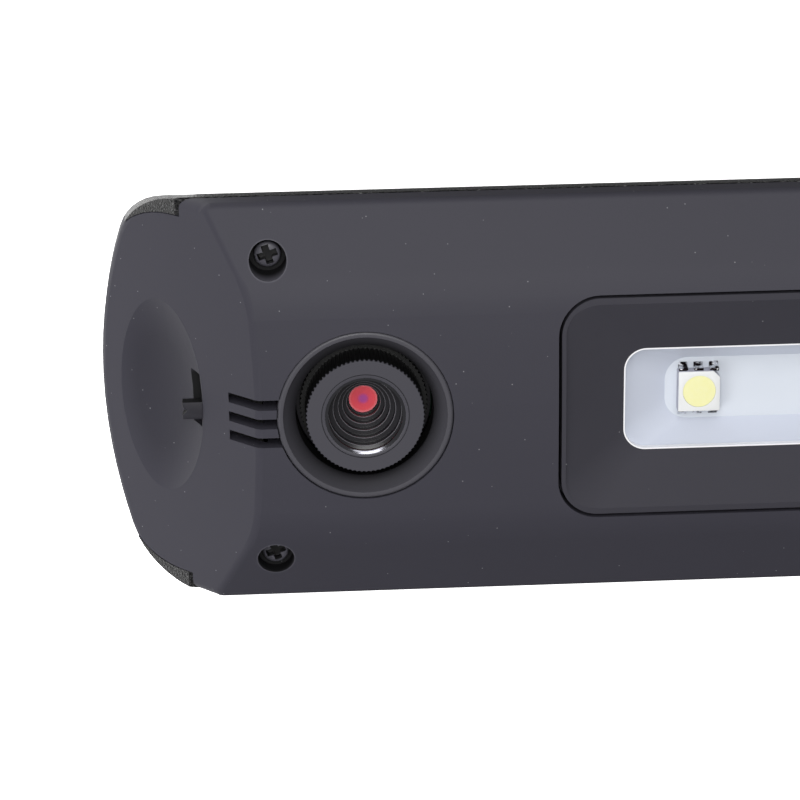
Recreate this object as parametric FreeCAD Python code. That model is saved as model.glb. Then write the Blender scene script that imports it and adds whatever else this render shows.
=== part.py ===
import FreeCAD, Part
import math
import os
from FreeCAD import Placement, Rotation, Vector

# Slim LED work light with a focusing inspection lens, in millimetres.
# X runs along the bar with the lens at the -X end, Y across it and Z up through its face.
# The bar lies on its flat back, and the origin is in the middle of that back.

# ---- Overall form ----
LENGTH = 244.0
HALF_WIDTH = 24.7
THICKNESS = 22.0
WALL = 2.0
SEAM_DEPTH = 8.5            # from the face down to the line where the covers meet
CROWN_R = 150.0             # the face is almost flat in the middle
SHOULDER_RUN = 12.7         # from each side in to where the crown starts to fall
SHOULDER_R = 14.0
SHOULDER_ANGLE = 27.0
EDGE_R = 1.1
END_RUN = 18.75             # from each tip in to the crease of the slanted end
END_ANGLE = 45.0
END_R = 61.4
CORNER_R = 8.7
RIM_R = 1.2                 # rounding around each slanted panel
SEAM_GROOVE = 0.5
FIT = 0.1                   # gap between the covers where they nest
RIM_WIDTH = 2.2             # rear cover rim beside the slanted panel
TONGUE_CORNER_R = 7.4
TONGUE_OVERRUN = 0.5        # lets the panel's corners run out through the rim
TONGUE_FLOOR = 1.4

HALF_LENGTH = LENGTH / 2
SEAM_Z = THICKNESS - SEAM_DEPTH
REAR_R = SEAM_Z
CROWN_HALF = HALF_WIDTH - SHOULDER_RUN
CREASE_X = HALF_LENGTH - END_RUN
INSIDE_Z = THICKNESS - WALL

# ---- Lens ----
LENS_FROM_TIP = 31.3
LENS_X = LENGTH / -2 + LENS_FROM_TIP
BORE_R = 10.4
COLLAR_R = 12.0
COLLAR_Z = 16.5
SURROUND_GROOVE = 0.25
SURROUND_THROAT_R = 8.15
SURROUND_DIP = 1.5
SURROUND_SINK = 0.08
SURROUND_LIP_R = 7.3
SURROUND_LIP = 0.8
RING_R = 7.0
RING_SINK = 0.25
RING_TOP_THICK = 0.7
RING_MOUTH_R = 5.14
RING_TEETH = 80
TOOTH_DEPTH = 0.22
RING_FLANGE_R = 7.6
RING_FLANGE = 0.7
RING_TAIL_R = 6.6
RING_TAIL = 3.5
RING_BORE_R = 5.95
RUNNING_GAP = 0.05
SIDE_GAP = 0.3
CELL_TOP_DROP = 0.85        # from the underside of the ring's face to the cell
CELL_TRAVEL = 0.625
BAFFLE_R = (4.3, 3.66, 3.04, 2.5, 1.98)
BAFFLE_STEP = 0.92
GLASS_R = 2.9
GLASS_THICK = 1.8
GLASS_DOME = 0.5
SPACER_THICK = 1.5
SPACER_WALL = 0.7
RETAINER_THICK = 1.0
CELL_TAIL_R = 4.5
CELL_TAIL = 3.8
HOLDER_WALL = 1.35
HOLDER_BASE_HALF = 8.2
HOLDER_BASE = 2.0
SENSOR_POCKET_HALF = 4.3
SENSOR_HALF = 3.2
SENSOR_THICK = 0.7
FILTER_THICK = 0.5
CAMERA_BOARD_HALF_X = 10.5
CAMERA_BOARD_HALF_Y = 13.0
CAMERA_BOARD_Z = 6.0
BOARD_THICK = 1.0
CAMERA_SCREW_X = 8.0
CAMERA_SCREW_Y = 11.0

# ---- Power button's place ----
BUTTON_FROM_TIP = 56.0
BUTTON_X = HALF_LENGTH - BUTTON_FROM_TIP

# ---- Lamp window ----
LED_COUNT = 6
LED_FROM_LENS = 40.1
LED_SIZE = 5.0
LED_HEIGHT = 1.6
LED_CUT = 0.8
PHOSPHOR_R = 1.98
PHOSPHOR_DEPTH = 0.5
PHOSPHOR_SINK = 0.05
LEAD_PITCH = 1.65
LEAD_WIDTH = 0.8
LEAD_REACH = 0.45
LEAD_HEIGHT = 0.75
LEADS_PER_SIDE = 3
TRAY_DEPTH = 7.0
WINDOW_END = 9.35           # from the last LED to the end of the window
WINDOW_TO_BUTTON = 23.9     # from the end of the window to the middle of the power button
WINDOW_HALF = 6.37
WINDOW_R = 2.7
WINDOW_DEPTH = 3.3
BEZEL_MARGIN_X = 7.65
BEZEL_HALF = 13.45
BEZEL_R = 4.5
BEZEL_GAP = 0.4
BEZEL_SINK = 0.15
BEZEL_LIP = 0.5
BEZEL_LIP_DEPTH = 0.6
BEZEL_THICK = 0.9
POCKET_FLOOR = 1.6
TRAY_SLOPE_RUN = 2.54
TRAY_END_RUN = 5.4
TRAY_WALL = 0.9
TRAY_FLANGE = 2.2
TRAY_FLANGE_THICK = 0.8
LED_BOARD_THICK = 1.2
LED_BOARD_HALF = 12.5
LED_BOARD_OVERHANG = 3.0
LED_SCREW_Y = 10.7
LED_SCREW_INSET = 1.6

FIRST_LED_X = LENS_X + LED_FROM_LENS
LAST_LED_X = BUTTON_X - WINDOW_TO_BUTTON - WINDOW_END
LED_PITCH = (LAST_LED_X - FIRST_LED_X) / (LED_COUNT - 1)
WINDOW_HALF_X = (LAST_LED_X - FIRST_LED_X) / 2 + WINDOW_END
WINDOW_X = (FIRST_LED_X + LAST_LED_X) / 2
WINDOW_Z = THICKNESS - WINDOW_DEPTH
BEZEL_BASE_Z = WINDOW_Z - BEZEL_THICK
TRAY_Z = THICKNESS - TRAY_DEPTH
LED_BOARD_Z = TRAY_Z - LED_BOARD_THICK

# ---- Screws ----
CASE_SCREW_FROM_TIP = 20.4
CASE_SCREW_Y = 18.6
COUNTERBORE_R = 2.2
CASE_TUBE_R = 3.4
CASE_HEAD_R = 1.65
CASE_HEAD = 1.1
CASE_HEAD_Z = 15.8
CASE_SHANK_R = 1.1
CASE_SCREW_BITE = 7.0
CASE_BOSS_R = 3.0
SMALL_HEAD_R = 1.4
SMALL_HEAD = 0.8
SMALL_SHANK_R = 0.75
SMALL_BITE = 2.2
POST_R = 2.0
CROSS_WIDTH = 0.75
CROSS_SHARE = 0.78          # length of the cross against the head's width
CROSS_DEPTH_SHARE = 0.8
CROSS_TURN = 35.0

# ---- Vents ----
VENT_COUNT = 3
VENT_PITCH = 2.33
VENT_WIDTH = 1.22
VENT_Y = -0.55
VENT_START = 15.95          # from the lens axis to the far end
VENT_END = 9.7              # far enough to open into the lens bore
VENT_FLOOR_Z = 16.0
FOAM_MARGIN = 0.8
FOAM_Z = 15.55

# ---- Finger dish and slide switch ----
DISH_RUN = 16.16            # down the slope from the crease
DISH_Y = -0.45
DISH_HALF_RUN = 7.07
DISH_HALF = 12.05
DISH_DEPTH = 2.0
DISH_WALL = 1.5
SLOT_Y = 0.2
SLOT_HALF = 3.3
SLOT_TOP_Z = 15.05
SLOT_HEIGHT = 2.6
KNOB_Y = -1.1
KNOB_WIDTH = 2.1
KNOB_GAP = 0.15
KNOB_TIP_FROM_LENS = 21.5
KNOB_NOTCH = 0.7
STEM_HEIGHT = 1.6
SWITCH_FACE_FROM_LENS = 16.2
SWITCH_DEPTH = 4.0
SWITCH_HALF = 4.6
SWITCH_HEIGHT = 3.4
SWITCH_TRACK_DEPTH = 2.6
STEM_REACH = 2.2
SWITCH_BOARD_HALF = 9.0
SWITCH_BOARD_EDGE = 18.2
SWITCH_BOARD_BACK = 12.4
SWITCH_SCREW_Y = 7.0
SWITCH_SCREW_FROM_LENS = 14.6

# ---- Grip end: power button, boards, charging ----
BUTTON_HALF_X = 8.0
BUTTON_HALF_Y = 4.6
BUTTON_PROUD = 0.4
BUTTON_GAP = 0.3
BUTTON_FLANGE = 1.2
BUTTON_FLANGE_THICK = 1.2
BUTTON_STEM_R = 2.0
BUTTON_DISH = 0.5
GUIDE_WALL = 1.5
GUIDE_Z = 16.5
MAIN_BOARD_LEAD = 13.0      # from the board's edge to the middle of the button
MAIN_BOARD_LENGTH = 43.0
MAIN_BOARD_HALF = 14.0
MAIN_BOARD_Z = 10.0
MAIN_BOARD_THICK = 1.2
MAIN_SCREW_INSET = 3.0
TACT_HALF = 3.0
TACT_HEIGHT = 3.5
PLUNGER_R = 1.7
PLUNGER_RISE = 1.0
PLUNGER_ROOM = 0.8
PIPE_FROM_BUTTON = 14.0
PIPE_R = 1.2
PIPE_FLANGE_R = 2.2
PIPE_FLANGE = 1.2
PIPE_GAP = 0.4
FLAP_RUN = 13.0
FLAP_HALF_X = 4.5
FLAP_HALF_Y = 8.0
FLAP_THICK = 1.5
FLAP_SINK = 0.05
FLAP_GAP = 0.25
KNUCKLE_R = 1.0
PIN_R = 0.6
PIN_GRIP = 1.4
FLAP_BLOCK_THICK = 4.2
FLAP_BLOCK_MARGIN = 2.5
SEAL_HALF_X = 1.2
SEAL_HALF_Y = 4.0
SEAL_THICK = 0.8
NAIL_R = 1.6
DRIVER_FROM_BUTTON = 7.0
DRIVER_SIZE = 5.0
DRIVER_Y = 5.0
DRIVER_HEIGHT = 1.0
CHARGER_FROM_PIPE = 3.0
CHARGER_SIZE = 4.0
CHARGER_Y = -8.0
CHARGER_HEIGHT = 0.9
INDICATOR_HALF_X = 0.8
INDICATOR_HALF_Y = 0.5
INDICATOR_HEIGHT = 0.6
USB_HALF_X = 1.63
USB_HALF_Y = 4.47
USB_SHELL = 0.35
USB_TOP = 2.6
USB_LENGTH = 6.5
CHARGE_BOARD_UP = 7.0
CHARGE_BOARD_DOWN = 3.5
CHARGE_BOARD_HALF = 8.0

MAIN_BOARD_X = BUTTON_X - MAIN_BOARD_LEAD
PIPE_X = BUTTON_X + PIPE_FROM_BUTTON

# ---- Battery, cables, magnets, bail ----
BATTERY_FROM_LENS = 45.7
BATTERY_TO_BOARD = 28.0
BATTERY_HALF = 15.0
BATTERY_THICK = 8.5
PAD_THICK = 1.0
PAD_HALF = 9.0
PAD_LENGTH = 12.0
PAD_INSET = 6.0
RIB_THICK = 1.5
RIB_HALF = 12.0
RIB_GAP = 0.5
RIB_TOP_Z = 8.0
WIRE_R = 0.6
WIRE_Y = 2.5
WIRE_DROP = 1.2
PLUG_LENGTH = 6.0
PLUG_HALF = 4.0
PLUG_HEIGHT = 3.0
LED_WIRE_Y = 6.0
RIBBON_HALF = 4.0
RIBBON_THICK = 0.2
RIBBON_Z = 12.0
RIBBON_CAMERA_LAP = 1.5
RIBBON_CLIMB = 8.0
RIBBON_DROP = 3.0
RIBBON_MAIN_LAP = 4.0
MAGNET_FROM_LENS = 28.7
MAGNET_TO_BOARD = 13.0
MAGNET_R = 6.0
MAGNET_THICK = 2.5
MAGNET_SINK = 0.2
MAGNET_WALL = 1.5
BAIL_FROM_TIP = 30.0
BAIL_REACH = 30.0
BAIL_HALF = 7.0
BAIL_WIRE_R = 1.2
BAIL_Z = 1.7
BAIL_BEND_R = 4.0
BAIL_STUB = 2.6
BAIL_CLEAR = 0.4
BAIL_BLOCK_TOP = 5.0
BAIL_BLOCK_LEAD = 3.0
BAIL_BLOCK_TAIL = 3.6

BATTERY_X = LENS_X + BATTERY_FROM_LENS
BATTERY_LENGTH = MAIN_BOARD_X - BATTERY_TO_BOARD - BATTERY_X
MAGNETS_X = (LENS_X + MAGNET_FROM_LENS, MAIN_BOARD_X - MAGNET_TO_BOARD)
BAIL_X = HALF_LENGTH - BAIL_FROM_TIP


# ---- Shape helpers ----
def box(x0, x1, y0, y1, z0, z1):
    """A box between two values along each axis."""
    return Part.makeBox(x1 - x0, y1 - y0, z1 - z0, Vector(x0, y0, z0))


def tube(x, y, z0, z1, outer, inner=0.0):
    """An upright round bar, or a tube when it has an inner radius."""
    bar = Part.makeCylinder(outer, z1 - z0, Vector(x, y, z0))
    if inner > 0:
        bar = bar.cut(Part.makeCylinder(inner, z1 - z0, Vector(x, y, z0)))
    return bar


def fused(shapes):
    """Every shape joined into one."""
    shapes = list(shapes)
    result = shapes[0]
    if len(shapes) > 1:
        result = result.fuse(shapes[1:])
    return result.removeSplitter()


def arc_edge(to_point, centre, radius, start, end):
    """An arc in a plane; to_point turns its two plane values into a 3-D point, angles in degrees."""
    points = []
    for angle in (start, (start + end) / 2, end):
        turn = math.radians(angle)
        points.append(to_point(centre[0] + radius * math.cos(turn), centre[1] + radius * math.sin(turn)))
    return Part.Arc(*points).toShape()


def line_edge(to_point, start, end):
    """A straight edge between two points of a plane."""
    return Part.LineSegment(to_point(*start), to_point(*end)).toShape()


def face_of(edges):
    """The flat face inside a closed run of edges."""
    return Part.Face(Part.Wire(Part.__sortEdges__(edges)))


def polygon_face(points):
    """The flat face of a closed polygon of 3-D points."""
    return Part.Face(Part.makePolygon(points + points[:1]))


def turned(profile, x, y):
    """A solid of revolution about an upright axis, from (radius, height) points."""
    face = polygon_face([Vector(x + radius, y, height) for radius, height in profile])
    return face.revolve(Vector(x, y, 0), Vector(0, 0, 1), 360)


def rounded_wire(x, y, half_x, half_y, radius, z):
    """A level rounded rectangle."""
    def point(u, v):
        return Vector(x + u, y + v, z)
    edges = []
    for start, (sx, sy) in zip((0, 90, 180, 270), ((1, 1), (-1, 1), (-1, -1), (1, -1))):
        centre = (sx * (half_x - radius), sy * (half_y - radius))
        edges.append(arc_edge(point, centre, radius, start, start + 90))
    joined = []
    for index, edge in enumerate(edges):
        follower = edges[(index + 1) % 4]
        start = edge.valueAt(edge.LastParameter)
        end = follower.valueAt(follower.FirstParameter)
        joined.append(edge)
        if start.distanceToPoint(end) > 1e-6:
            joined.append(Part.LineSegment(start, end).toShape())
    return Part.Wire(joined)


def rounded_block(x, y, half_x, half_y, radius, z0, z1):
    """An upright block with rounded corners."""
    return Part.Face(rounded_wire(x, y, half_x, half_y, radius, z0)).extrude(Vector(0, 0, z1 - z0))


def tapered_block(x, y, low, high, z0, z1):
    """A block that widens from low to high, each given as (half_x, half_y, radius)."""
    wires = [rounded_wire(x, y, *low, z0), rounded_wire(x, y, *high, z1)]
    return Part.makeLoft(wires, True, True)


def cross_screw(x, y, head_z, head_r, head, shank_r, shank):
    """A pan head screw pointing down, its head's underside at head_z."""
    body = turned([(0, head_z + head), (head_r * 0.7, head_z + head), (head_r, head_z + head * 0.55),
                   (head_r, head_z), (shank_r, head_z), (shank_r, head_z - shank), (0, head_z - shank)], x, y)
    reach = head_r * CROSS_SHARE
    depth = head * CROSS_DEPTH_SHARE
    for turn in (CROSS_TURN, CROSS_TURN + 90):
        arm = box(-reach, reach, -CROSS_WIDTH / 2, CROSS_WIDTH / 2, head_z + head - depth, head_z + head)
        arm.Placement = Placement(Vector(x, y, 0), Rotation(Vector(0, 0, 1), turn))
        body = body.cut(arm)
    return body


def flipped(shape, z):
    """The shape turned upside down about the level line through height z along X."""
    copy = shape.copy()
    copy.rotate(Vector(0, 0, z), Vector(1, 0, 0), 180)
    return copy


# ---- The bar's form ----
def bar_section(inset, rear_r):
    """The bar's section across Y and Z, moved in by an inset, with its rear corners at a radius."""
    def right(y, z):
        return Vector(0, y, z)

    def left(y, z):
        return Vector(0, -y, z)

    crown_tilt = math.degrees(math.asin(CROWN_HALF / CROWN_R))
    crown_centre = (0.0, THICKNESS - CROWN_R)
    lean = math.radians(crown_tilt)
    drop = math.radians(SHOULDER_ANGLE)
    spread = CROWN_R - SHOULDER_R
    shoulder_centre = (spread * math.sin(lean), crown_centre[1] + spread * math.cos(lean))
    shoulder_r = SHOULDER_R - inset
    shoulder_end = (shoulder_centre[0] + shoulder_r * math.sin(drop),
                    shoulder_centre[1] + shoulder_r * math.cos(drop))
    wall_y = HALF_WIDTH - inset
    corner = (wall_y, shoulder_end[1] - (wall_y - shoulder_end[0]) * math.tan(drop))
    edge_r = max(EDGE_R - inset, EDGE_R / 4)
    setback = edge_r * math.tan((math.pi / 2 - drop) / 2)
    edge_start = (corner[0] - setback * math.cos(drop), corner[1] + setback * math.sin(drop))
    edge_end = (wall_y, corner[1] - setback)
    rear_centre = (HALF_WIDTH - rear_r, rear_r)
    corner_r = rear_r - inset

    edges = [arc_edge(right, crown_centre, CROWN_R - inset, 90 - crown_tilt, 90 + crown_tilt)]
    for side in (right, left):
        edges.append(arc_edge(side, shoulder_centre, shoulder_r, 90 - crown_tilt, 90 - SHOULDER_ANGLE))
        edges.append(line_edge(side, shoulder_end, edge_start))
        edges.append(arc_edge(side, (wall_y - edge_r, edge_end[1]), edge_r, 90 - SHOULDER_ANGLE, 0))
        edges.append(line_edge(side, edge_end, (wall_y, rear_r)))
        edges.append(arc_edge(side, rear_centre, corner_r, 0, -90))
    edges.append(line_edge(right, (rear_centre[0], inset), (-rear_centre[0], inset)))
    return face_of(edges)


def plan_outline(half_length, half_width, end_r, corner_r, z):
    """The bar's outline from above: straight sides, rounded corners and gently bowed ends."""
    corner_y = half_width - corner_r
    end_centre = half_length - end_r
    corner_x = end_centre + math.sqrt((end_r - corner_r) ** 2 - corner_y ** 2)
    bow = math.degrees(math.atan2(corner_y, corner_x - end_centre))

    edges = []
    for side_x in (1, -1):
        for side_y in (1, -1):
            def point(x, y):
                return Vector(side_x * x, side_y * y, z)
            edges.append(arc_edge(point, (corner_x, corner_y), corner_r, bow, 90))
            edges.append(arc_edge(point, (end_centre, 0), end_r, 0, bow))
    for side_y in (1, -1):
        edges.append(Part.LineSegment(Vector(-corner_x, side_y * half_width, z),
                                      Vector(corner_x, side_y * half_width, z)).toShape())
    return face_of(edges)


def slant_placement(side, run):
    """A frame on a slanted end: Z points out of the slope, run is the distance down it from the crease."""
    slope = math.radians(END_ANGLE)
    origin = Vector(side * (CREASE_X + run * math.cos(slope)), 0, THICKNESS - run * math.sin(slope))
    return Placement(origin, Rotation(Vector(0, 1, 0), side * END_ANGLE))


def slant_cutter(side, inset):
    """Everything outside a slanted end, moved in by an inset."""
    block = box(-LENGTH / 2, LENGTH / 2, -HALF_WIDTH * 2, HALF_WIDTH * 2, -inset, LENGTH / 2)
    block.Placement = slant_placement(side, 0)
    return block


def envelope(inset, rear_r=REAR_R):
    """The whole bar's form, moved in by an inset; rear_r rounds its two long rear corners."""
    section = bar_section(inset, rear_r)
    section.translate(Vector(-HALF_LENGTH - 1, 0, 0))
    form = section.extrude(Vector(LENGTH + 2, 0, 0))
    outline = plan_outline(HALF_LENGTH - inset, HALF_WIDTH - inset, END_R - inset, CORNER_R - inset, -1)
    form = form.common(outline.extrude(Vector(0, 0, THICKNESS + 2)))
    for side in (1, -1):
        form = form.cut(slant_cutter(side, inset))
    return form


def rounded_envelope():
    """The bar's outer form with the rounding around both slanted ends.

    The rims are rounded while the walls still run straight down, clear of the long rear corners.
    """
    form = envelope(0.0, RIM_R)
    rims = []
    for side in (1, -1):
        inverse = slant_placement(side, 0).inverse()
        for edge in form.Edges:
            mid = edge.valueAt((edge.FirstParameter + edge.LastParameter) / 2)
            ends = [mid] + [vertex.Point for vertex in edge.Vertexes]
            if all(abs(inverse.multVec(point).z) < 1e-4 for point in ends):
                rims.append(edge)
    return form.makeFillet(RIM_R, rims).common(envelope(0.0))


def tongue(side, grow):
    """The slanted panel that runs down inside the rear cover's rim, grown by a clearance."""
    reach = HALF_LENGTH + TONGUE_OVERRUN + grow
    outline = plan_outline(reach, HALF_WIDTH - RIM_WIDTH + grow, END_R + grow, TONGUE_CORNER_R + grow, 0)
    prism = outline.extrude(Vector(0, 0, THICKNESS))
    slab = box(-LENGTH / 4, LENGTH / 4, -HALF_WIDTH, HALF_WIDTH, -WALL - grow, WALL)
    slab.Placement = slant_placement(side, 0)
    depth = box(-LENGTH, LENGTH, -HALF_WIDTH, HALF_WIDTH, TONGUE_FLOOR - grow, SEAM_Z)
    end = box(0, LENGTH, -HALF_WIDTH, HALF_WIDTH, 0, THICKNESS)
    if side < 0:
        end = end.mirror(Vector(0, 0, 0), Vector(1, 0, 0))
    return prism.common(slab).common(depth).common(end)


def above_seam():
    """Everything above the line where the covers meet."""
    return box(-LENGTH, LENGTH, -HALF_WIDTH * 2, HALF_WIDTH * 2, SEAM_Z, THICKNESS * 2)


def case_screw_places():
    """Where the four case screws stand."""
    reach = HALF_LENGTH - CASE_SCREW_FROM_TIP
    return [(sx * reach, sy * CASE_SCREW_Y) for sx in (-1, 1) for sy in (-1, 1)]


# ---- Finger dish ----
def dish_tool(grow):
    """The hollow of the finger dish, turned about an axis across the bar, grown by a wall."""
    roll_r = (DISH_HALF_RUN ** 2 + DISH_DEPTH ** 2) / (2 * DISH_DEPTH)
    bow_r = (DISH_HALF ** 2 + DISH_DEPTH ** 2) / (2 * DISH_DEPTH)
    axis_z = roll_r - DISH_DEPTH
    half = DISH_HALF + grow
    centre_z = bow_r - DISH_DEPTH
    rise = math.sqrt((bow_r + grow) ** 2 - half ** 2)
    low = Vector(0, 0, -DISH_DEPTH - grow)
    ends = [Vector(0, sy * half, centre_z - rise) for sy in (-1, 1)]
    tops = [Vector(0, sy * half, axis_z) for sy in (-1, 1)]
    edges = [Part.Arc(ends[0], low, ends[1]).toShape(), Part.LineSegment(ends[1], tops[1]).toShape(),
             Part.LineSegment(tops[1], tops[0]).toShape(), Part.LineSegment(tops[0], ends[0]).toShape()]
    tool = face_of(edges).revolve(Vector(0, 0, axis_z), Vector(0, 1, 0), 360)
    tool.translate(Vector(0, DISH_Y, 0))
    tool.Placement = slant_placement(-1, DISH_RUN).multiply(tool.Placement)
    return tool


# ---- Flap on the grip end ----
def on_flap_slope(shape):
    """A piece drawn flat, moved onto the slanted grip end."""
    shape.Placement = slant_placement(1, FLAP_RUN).multiply(shape.Placement)
    return shape


def flap_pin_centre():
    """The flap's pin in the flat drawing."""
    return Vector(-FLAP_HALF_X, 0, -KNUCKLE_R - FLAP_SINK)


def cross_bar(centre, half, radius):
    """A round bar across the bar's width."""
    return Part.makeCylinder(radius, half * 2, centre - Vector(0, half, 0), Vector(0, 1, 0))


# ---- Front cover ----
def front_cover_inside():
    """Collars, frames and bosses inside the front cover, before they are trimmed to the shell."""
    reach_x = WINDOW_HALF_X + BEZEL_MARGIN_X + BEZEL_GAP + POCKET_FLOOR
    reach_y = BEZEL_HALF + BEZEL_GAP + POCKET_FLOOR
    pieces = [tube(LENS_X, 0, COLLAR_Z, THICKNESS, COLLAR_R),
              rounded_block(WINDOW_X, 0, reach_x, reach_y, BEZEL_R + BEZEL_GAP + POCKET_FLOOR,
                            BEZEL_BASE_Z - POCKET_FLOOR, THICKNESS)]
    for x, y in case_screw_places():
        pieces.append(tube(x, y, SEAM_Z, THICKNESS, CASE_TUBE_R))
    for x, y in led_screw_places():
        pieces.append(tube(x, y, TRAY_Z, BEZEL_BASE_Z, POST_R))
    guide = BUTTON_FLANGE + BUTTON_GAP + GUIDE_WALL
    pieces.append(rounded_block(BUTTON_X, 0, BUTTON_HALF_X + guide, BUTTON_HALF_Y + guide,
                                BUTTON_HALF_Y + guide - 0.1, GUIDE_Z, THICKNESS))
    pieces.append(tube(PIPE_X, 0, INSIDE_Z - PIPE_FLANGE, THICKNESS, PIPE_FLANGE_R + GUIDE_WALL))
    pieces.append(dish_tool(DISH_WALL))
    block = box(-FLAP_HALF_X - KNUCKLE_R - FLAP_BLOCK_MARGIN, FLAP_HALF_X + FLAP_BLOCK_MARGIN,
                -FLAP_HALF_Y - FLAP_BLOCK_MARGIN, FLAP_HALF_Y + FLAP_BLOCK_MARGIN, -FLAP_BLOCK_THICK, 0)
    pieces.append(on_flap_slope(block))
    return pieces


def vent_cuts():
    """The slots that run across the crease beside the lens."""
    cuts = []
    for index in range(VENT_COUNT):
        y = VENT_Y + (index - (VENT_COUNT - 1) / 2) * VENT_PITCH
        cuts.append(box(LENS_X - VENT_START, LENS_X - VENT_END, y - VENT_WIDTH / 2, y + VENT_WIDTH / 2,
                        VENT_FLOOR_Z, THICKNESS + 1))
    return cuts


def front_cover_cuts():
    """Every opening in the front cover."""
    bezel_x = WINDOW_HALF_X + BEZEL_MARGIN_X + BEZEL_GAP
    tray_gap = TRAY_FLANGE + BEZEL_GAP / 2
    cuts = [tube(LENS_X, 0, 0, THICKNESS + 1, BORE_R),
            rounded_block(WINDOW_X, 0, bezel_x, BEZEL_HALF + BEZEL_GAP, BEZEL_R + BEZEL_GAP,
                          BEZEL_BASE_Z, THICKNESS + 1),
            rounded_block(WINDOW_X, 0, WINDOW_HALF_X + tray_gap, WINDOW_HALF + tray_gap, WINDOW_R + tray_gap,
                          0, THICKNESS)]
    for x, y in case_screw_places():
        cuts.append(tube(x, y, CASE_HEAD_Z, THICKNESS + 1, COUNTERBORE_R))
        cuts.append(tube(x, y, 0, THICKNESS, CASE_SHANK_R + FIT))
    for x, y in led_screw_places():
        cuts.append(tube(x, y, 0, TRAY_Z + SMALL_BITE, SMALL_SHANK_R))
    cap = BUTTON_GAP
    flange = BUTTON_FLANGE + BUTTON_GAP
    cuts.append(rounded_block(BUTTON_X, 0, BUTTON_HALF_X + cap, BUTTON_HALF_Y + cap, BUTTON_HALF_Y + cap - 0.1,
                              0, THICKNESS + 1))
    cuts.append(rounded_block(BUTTON_X, 0, BUTTON_HALF_X + flange, BUTTON_HALF_Y + flange,
                              BUTTON_HALF_Y + flange - 0.1, 0, INSIDE_Z))
    cuts.append(tube(PIPE_X, 0, 0, THICKNESS + 1, PIPE_R))
    cuts.append(tube(PIPE_X, 0, 0, INSIDE_Z, PIPE_FLANGE_R))
    cuts.append(dish_tool(0.0))
    cuts.append(box(LENS_X - KNOB_TIP_FROM_LENS, LENS_X - SWITCH_FACE_FROM_LENS, SLOT_Y - SLOT_HALF,
                    SLOT_Y + SLOT_HALF, SLOT_TOP_Z - SLOT_HEIGHT, SLOT_TOP_Z))
    cuts.extend(vent_cuts())
    cuts.extend(flap_cuts())
    return cuts


def flap_cuts():
    """The flap's pocket, its hinge trough and pin holes, and the mouth of the socket."""
    pin = flap_pin_centre()
    knuckle = KNUCKLE_R + FLAP_GAP
    pocket = box(pin.x - knuckle, FLAP_HALF_X + FLAP_GAP, -FLAP_HALF_Y - FLAP_GAP, FLAP_HALF_Y + FLAP_GAP,
                 -FLAP_THICK - FLAP_GAP, THICKNESS)
    trough = box(pin.x - knuckle, pin.x + knuckle, -FLAP_HALF_Y - FLAP_GAP, FLAP_HALF_Y + FLAP_GAP,
                 pin.z - knuckle, THICKNESS)
    mouth = box(-USB_HALF_X, USB_HALF_X, -USB_HALF_Y, USB_HALF_Y, -THICKNESS, 0)
    holes = cross_bar(pin, FLAP_HALF_Y + PIN_GRIP, PIN_R)
    return [on_flap_slope(shape) for shape in (pocket, trough, mouth, holes)]


def front_cover(cavity):
    """The matte upper shell, its slanted panels and everything moulded inside it."""
    shell = rounded_envelope().cut(cavity)
    panels = [shell.common(tongue(side, 0.0)) for side in (1, -1)]
    skin = fused([shell.common(above_seam())] + panels)
    inside = fused(front_cover_inside()).common(envelope(WALL / 2))
    inside = inside.common(fused([above_seam()] + [tongue_backing()]))
    cover = fused([skin, inside])
    return cover.cut(front_cover_cuts())


def tongue_backing():
    """Room below the seam where the dish and the flap pocket may stand behind the slanted panels."""
    return box(-HALF_LENGTH, HALF_LENGTH, -HALF_WIDTH + RIM_WIDTH + WALL, HALF_WIDTH - RIM_WIDTH - WALL,
               WALL * 2, SEAM_Z)


# ---- Rear cover ----
def rear_cover_inside():
    """Bosses, posts, ribs and blocks inside the rear cover."""
    pieces = [tube(x, y, WALL / 2, SEAM_Z, CASE_BOSS_R) for x, y in case_screw_places()]
    for x, y in camera_screw_places():
        pieces.append(tube(x, y, WALL / 2, CAMERA_BOARD_Z, POST_R))
    for x, y in switch_screw_places():
        pieces.append(tube(x, y, WALL / 2, switch_board_z(), POST_R))
    for x, y in main_screw_places():
        pieces.append(tube(x, y, WALL / 2, MAIN_BOARD_Z, POST_R))
    for x in (BATTERY_X - RIB_GAP - RIB_THICK, BATTERY_X + BATTERY_LENGTH + RIB_GAP):
        pieces.append(box(x, x + RIB_THICK, -RIB_HALF, RIB_HALF, WALL / 2, RIB_TOP_Z))
    for x in MAGNETS_X:
        pieces.append(tube(x, 0, WALL / 2, MAGNET_SINK + MAGNET_THICK + MAGNET_WALL, MAGNET_R + MAGNET_WALL))
    side = BAIL_HALF + BAIL_STUB + BAIL_WIRE_R
    pieces.append(box(BAIL_X - BAIL_REACH - BAIL_WIRE_R - BAIL_BLOCK_LEAD, BAIL_X + BAIL_BLOCK_TAIL,
                      -side, side, WALL / 2, BAIL_BLOCK_TOP))
    return pieces


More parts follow.
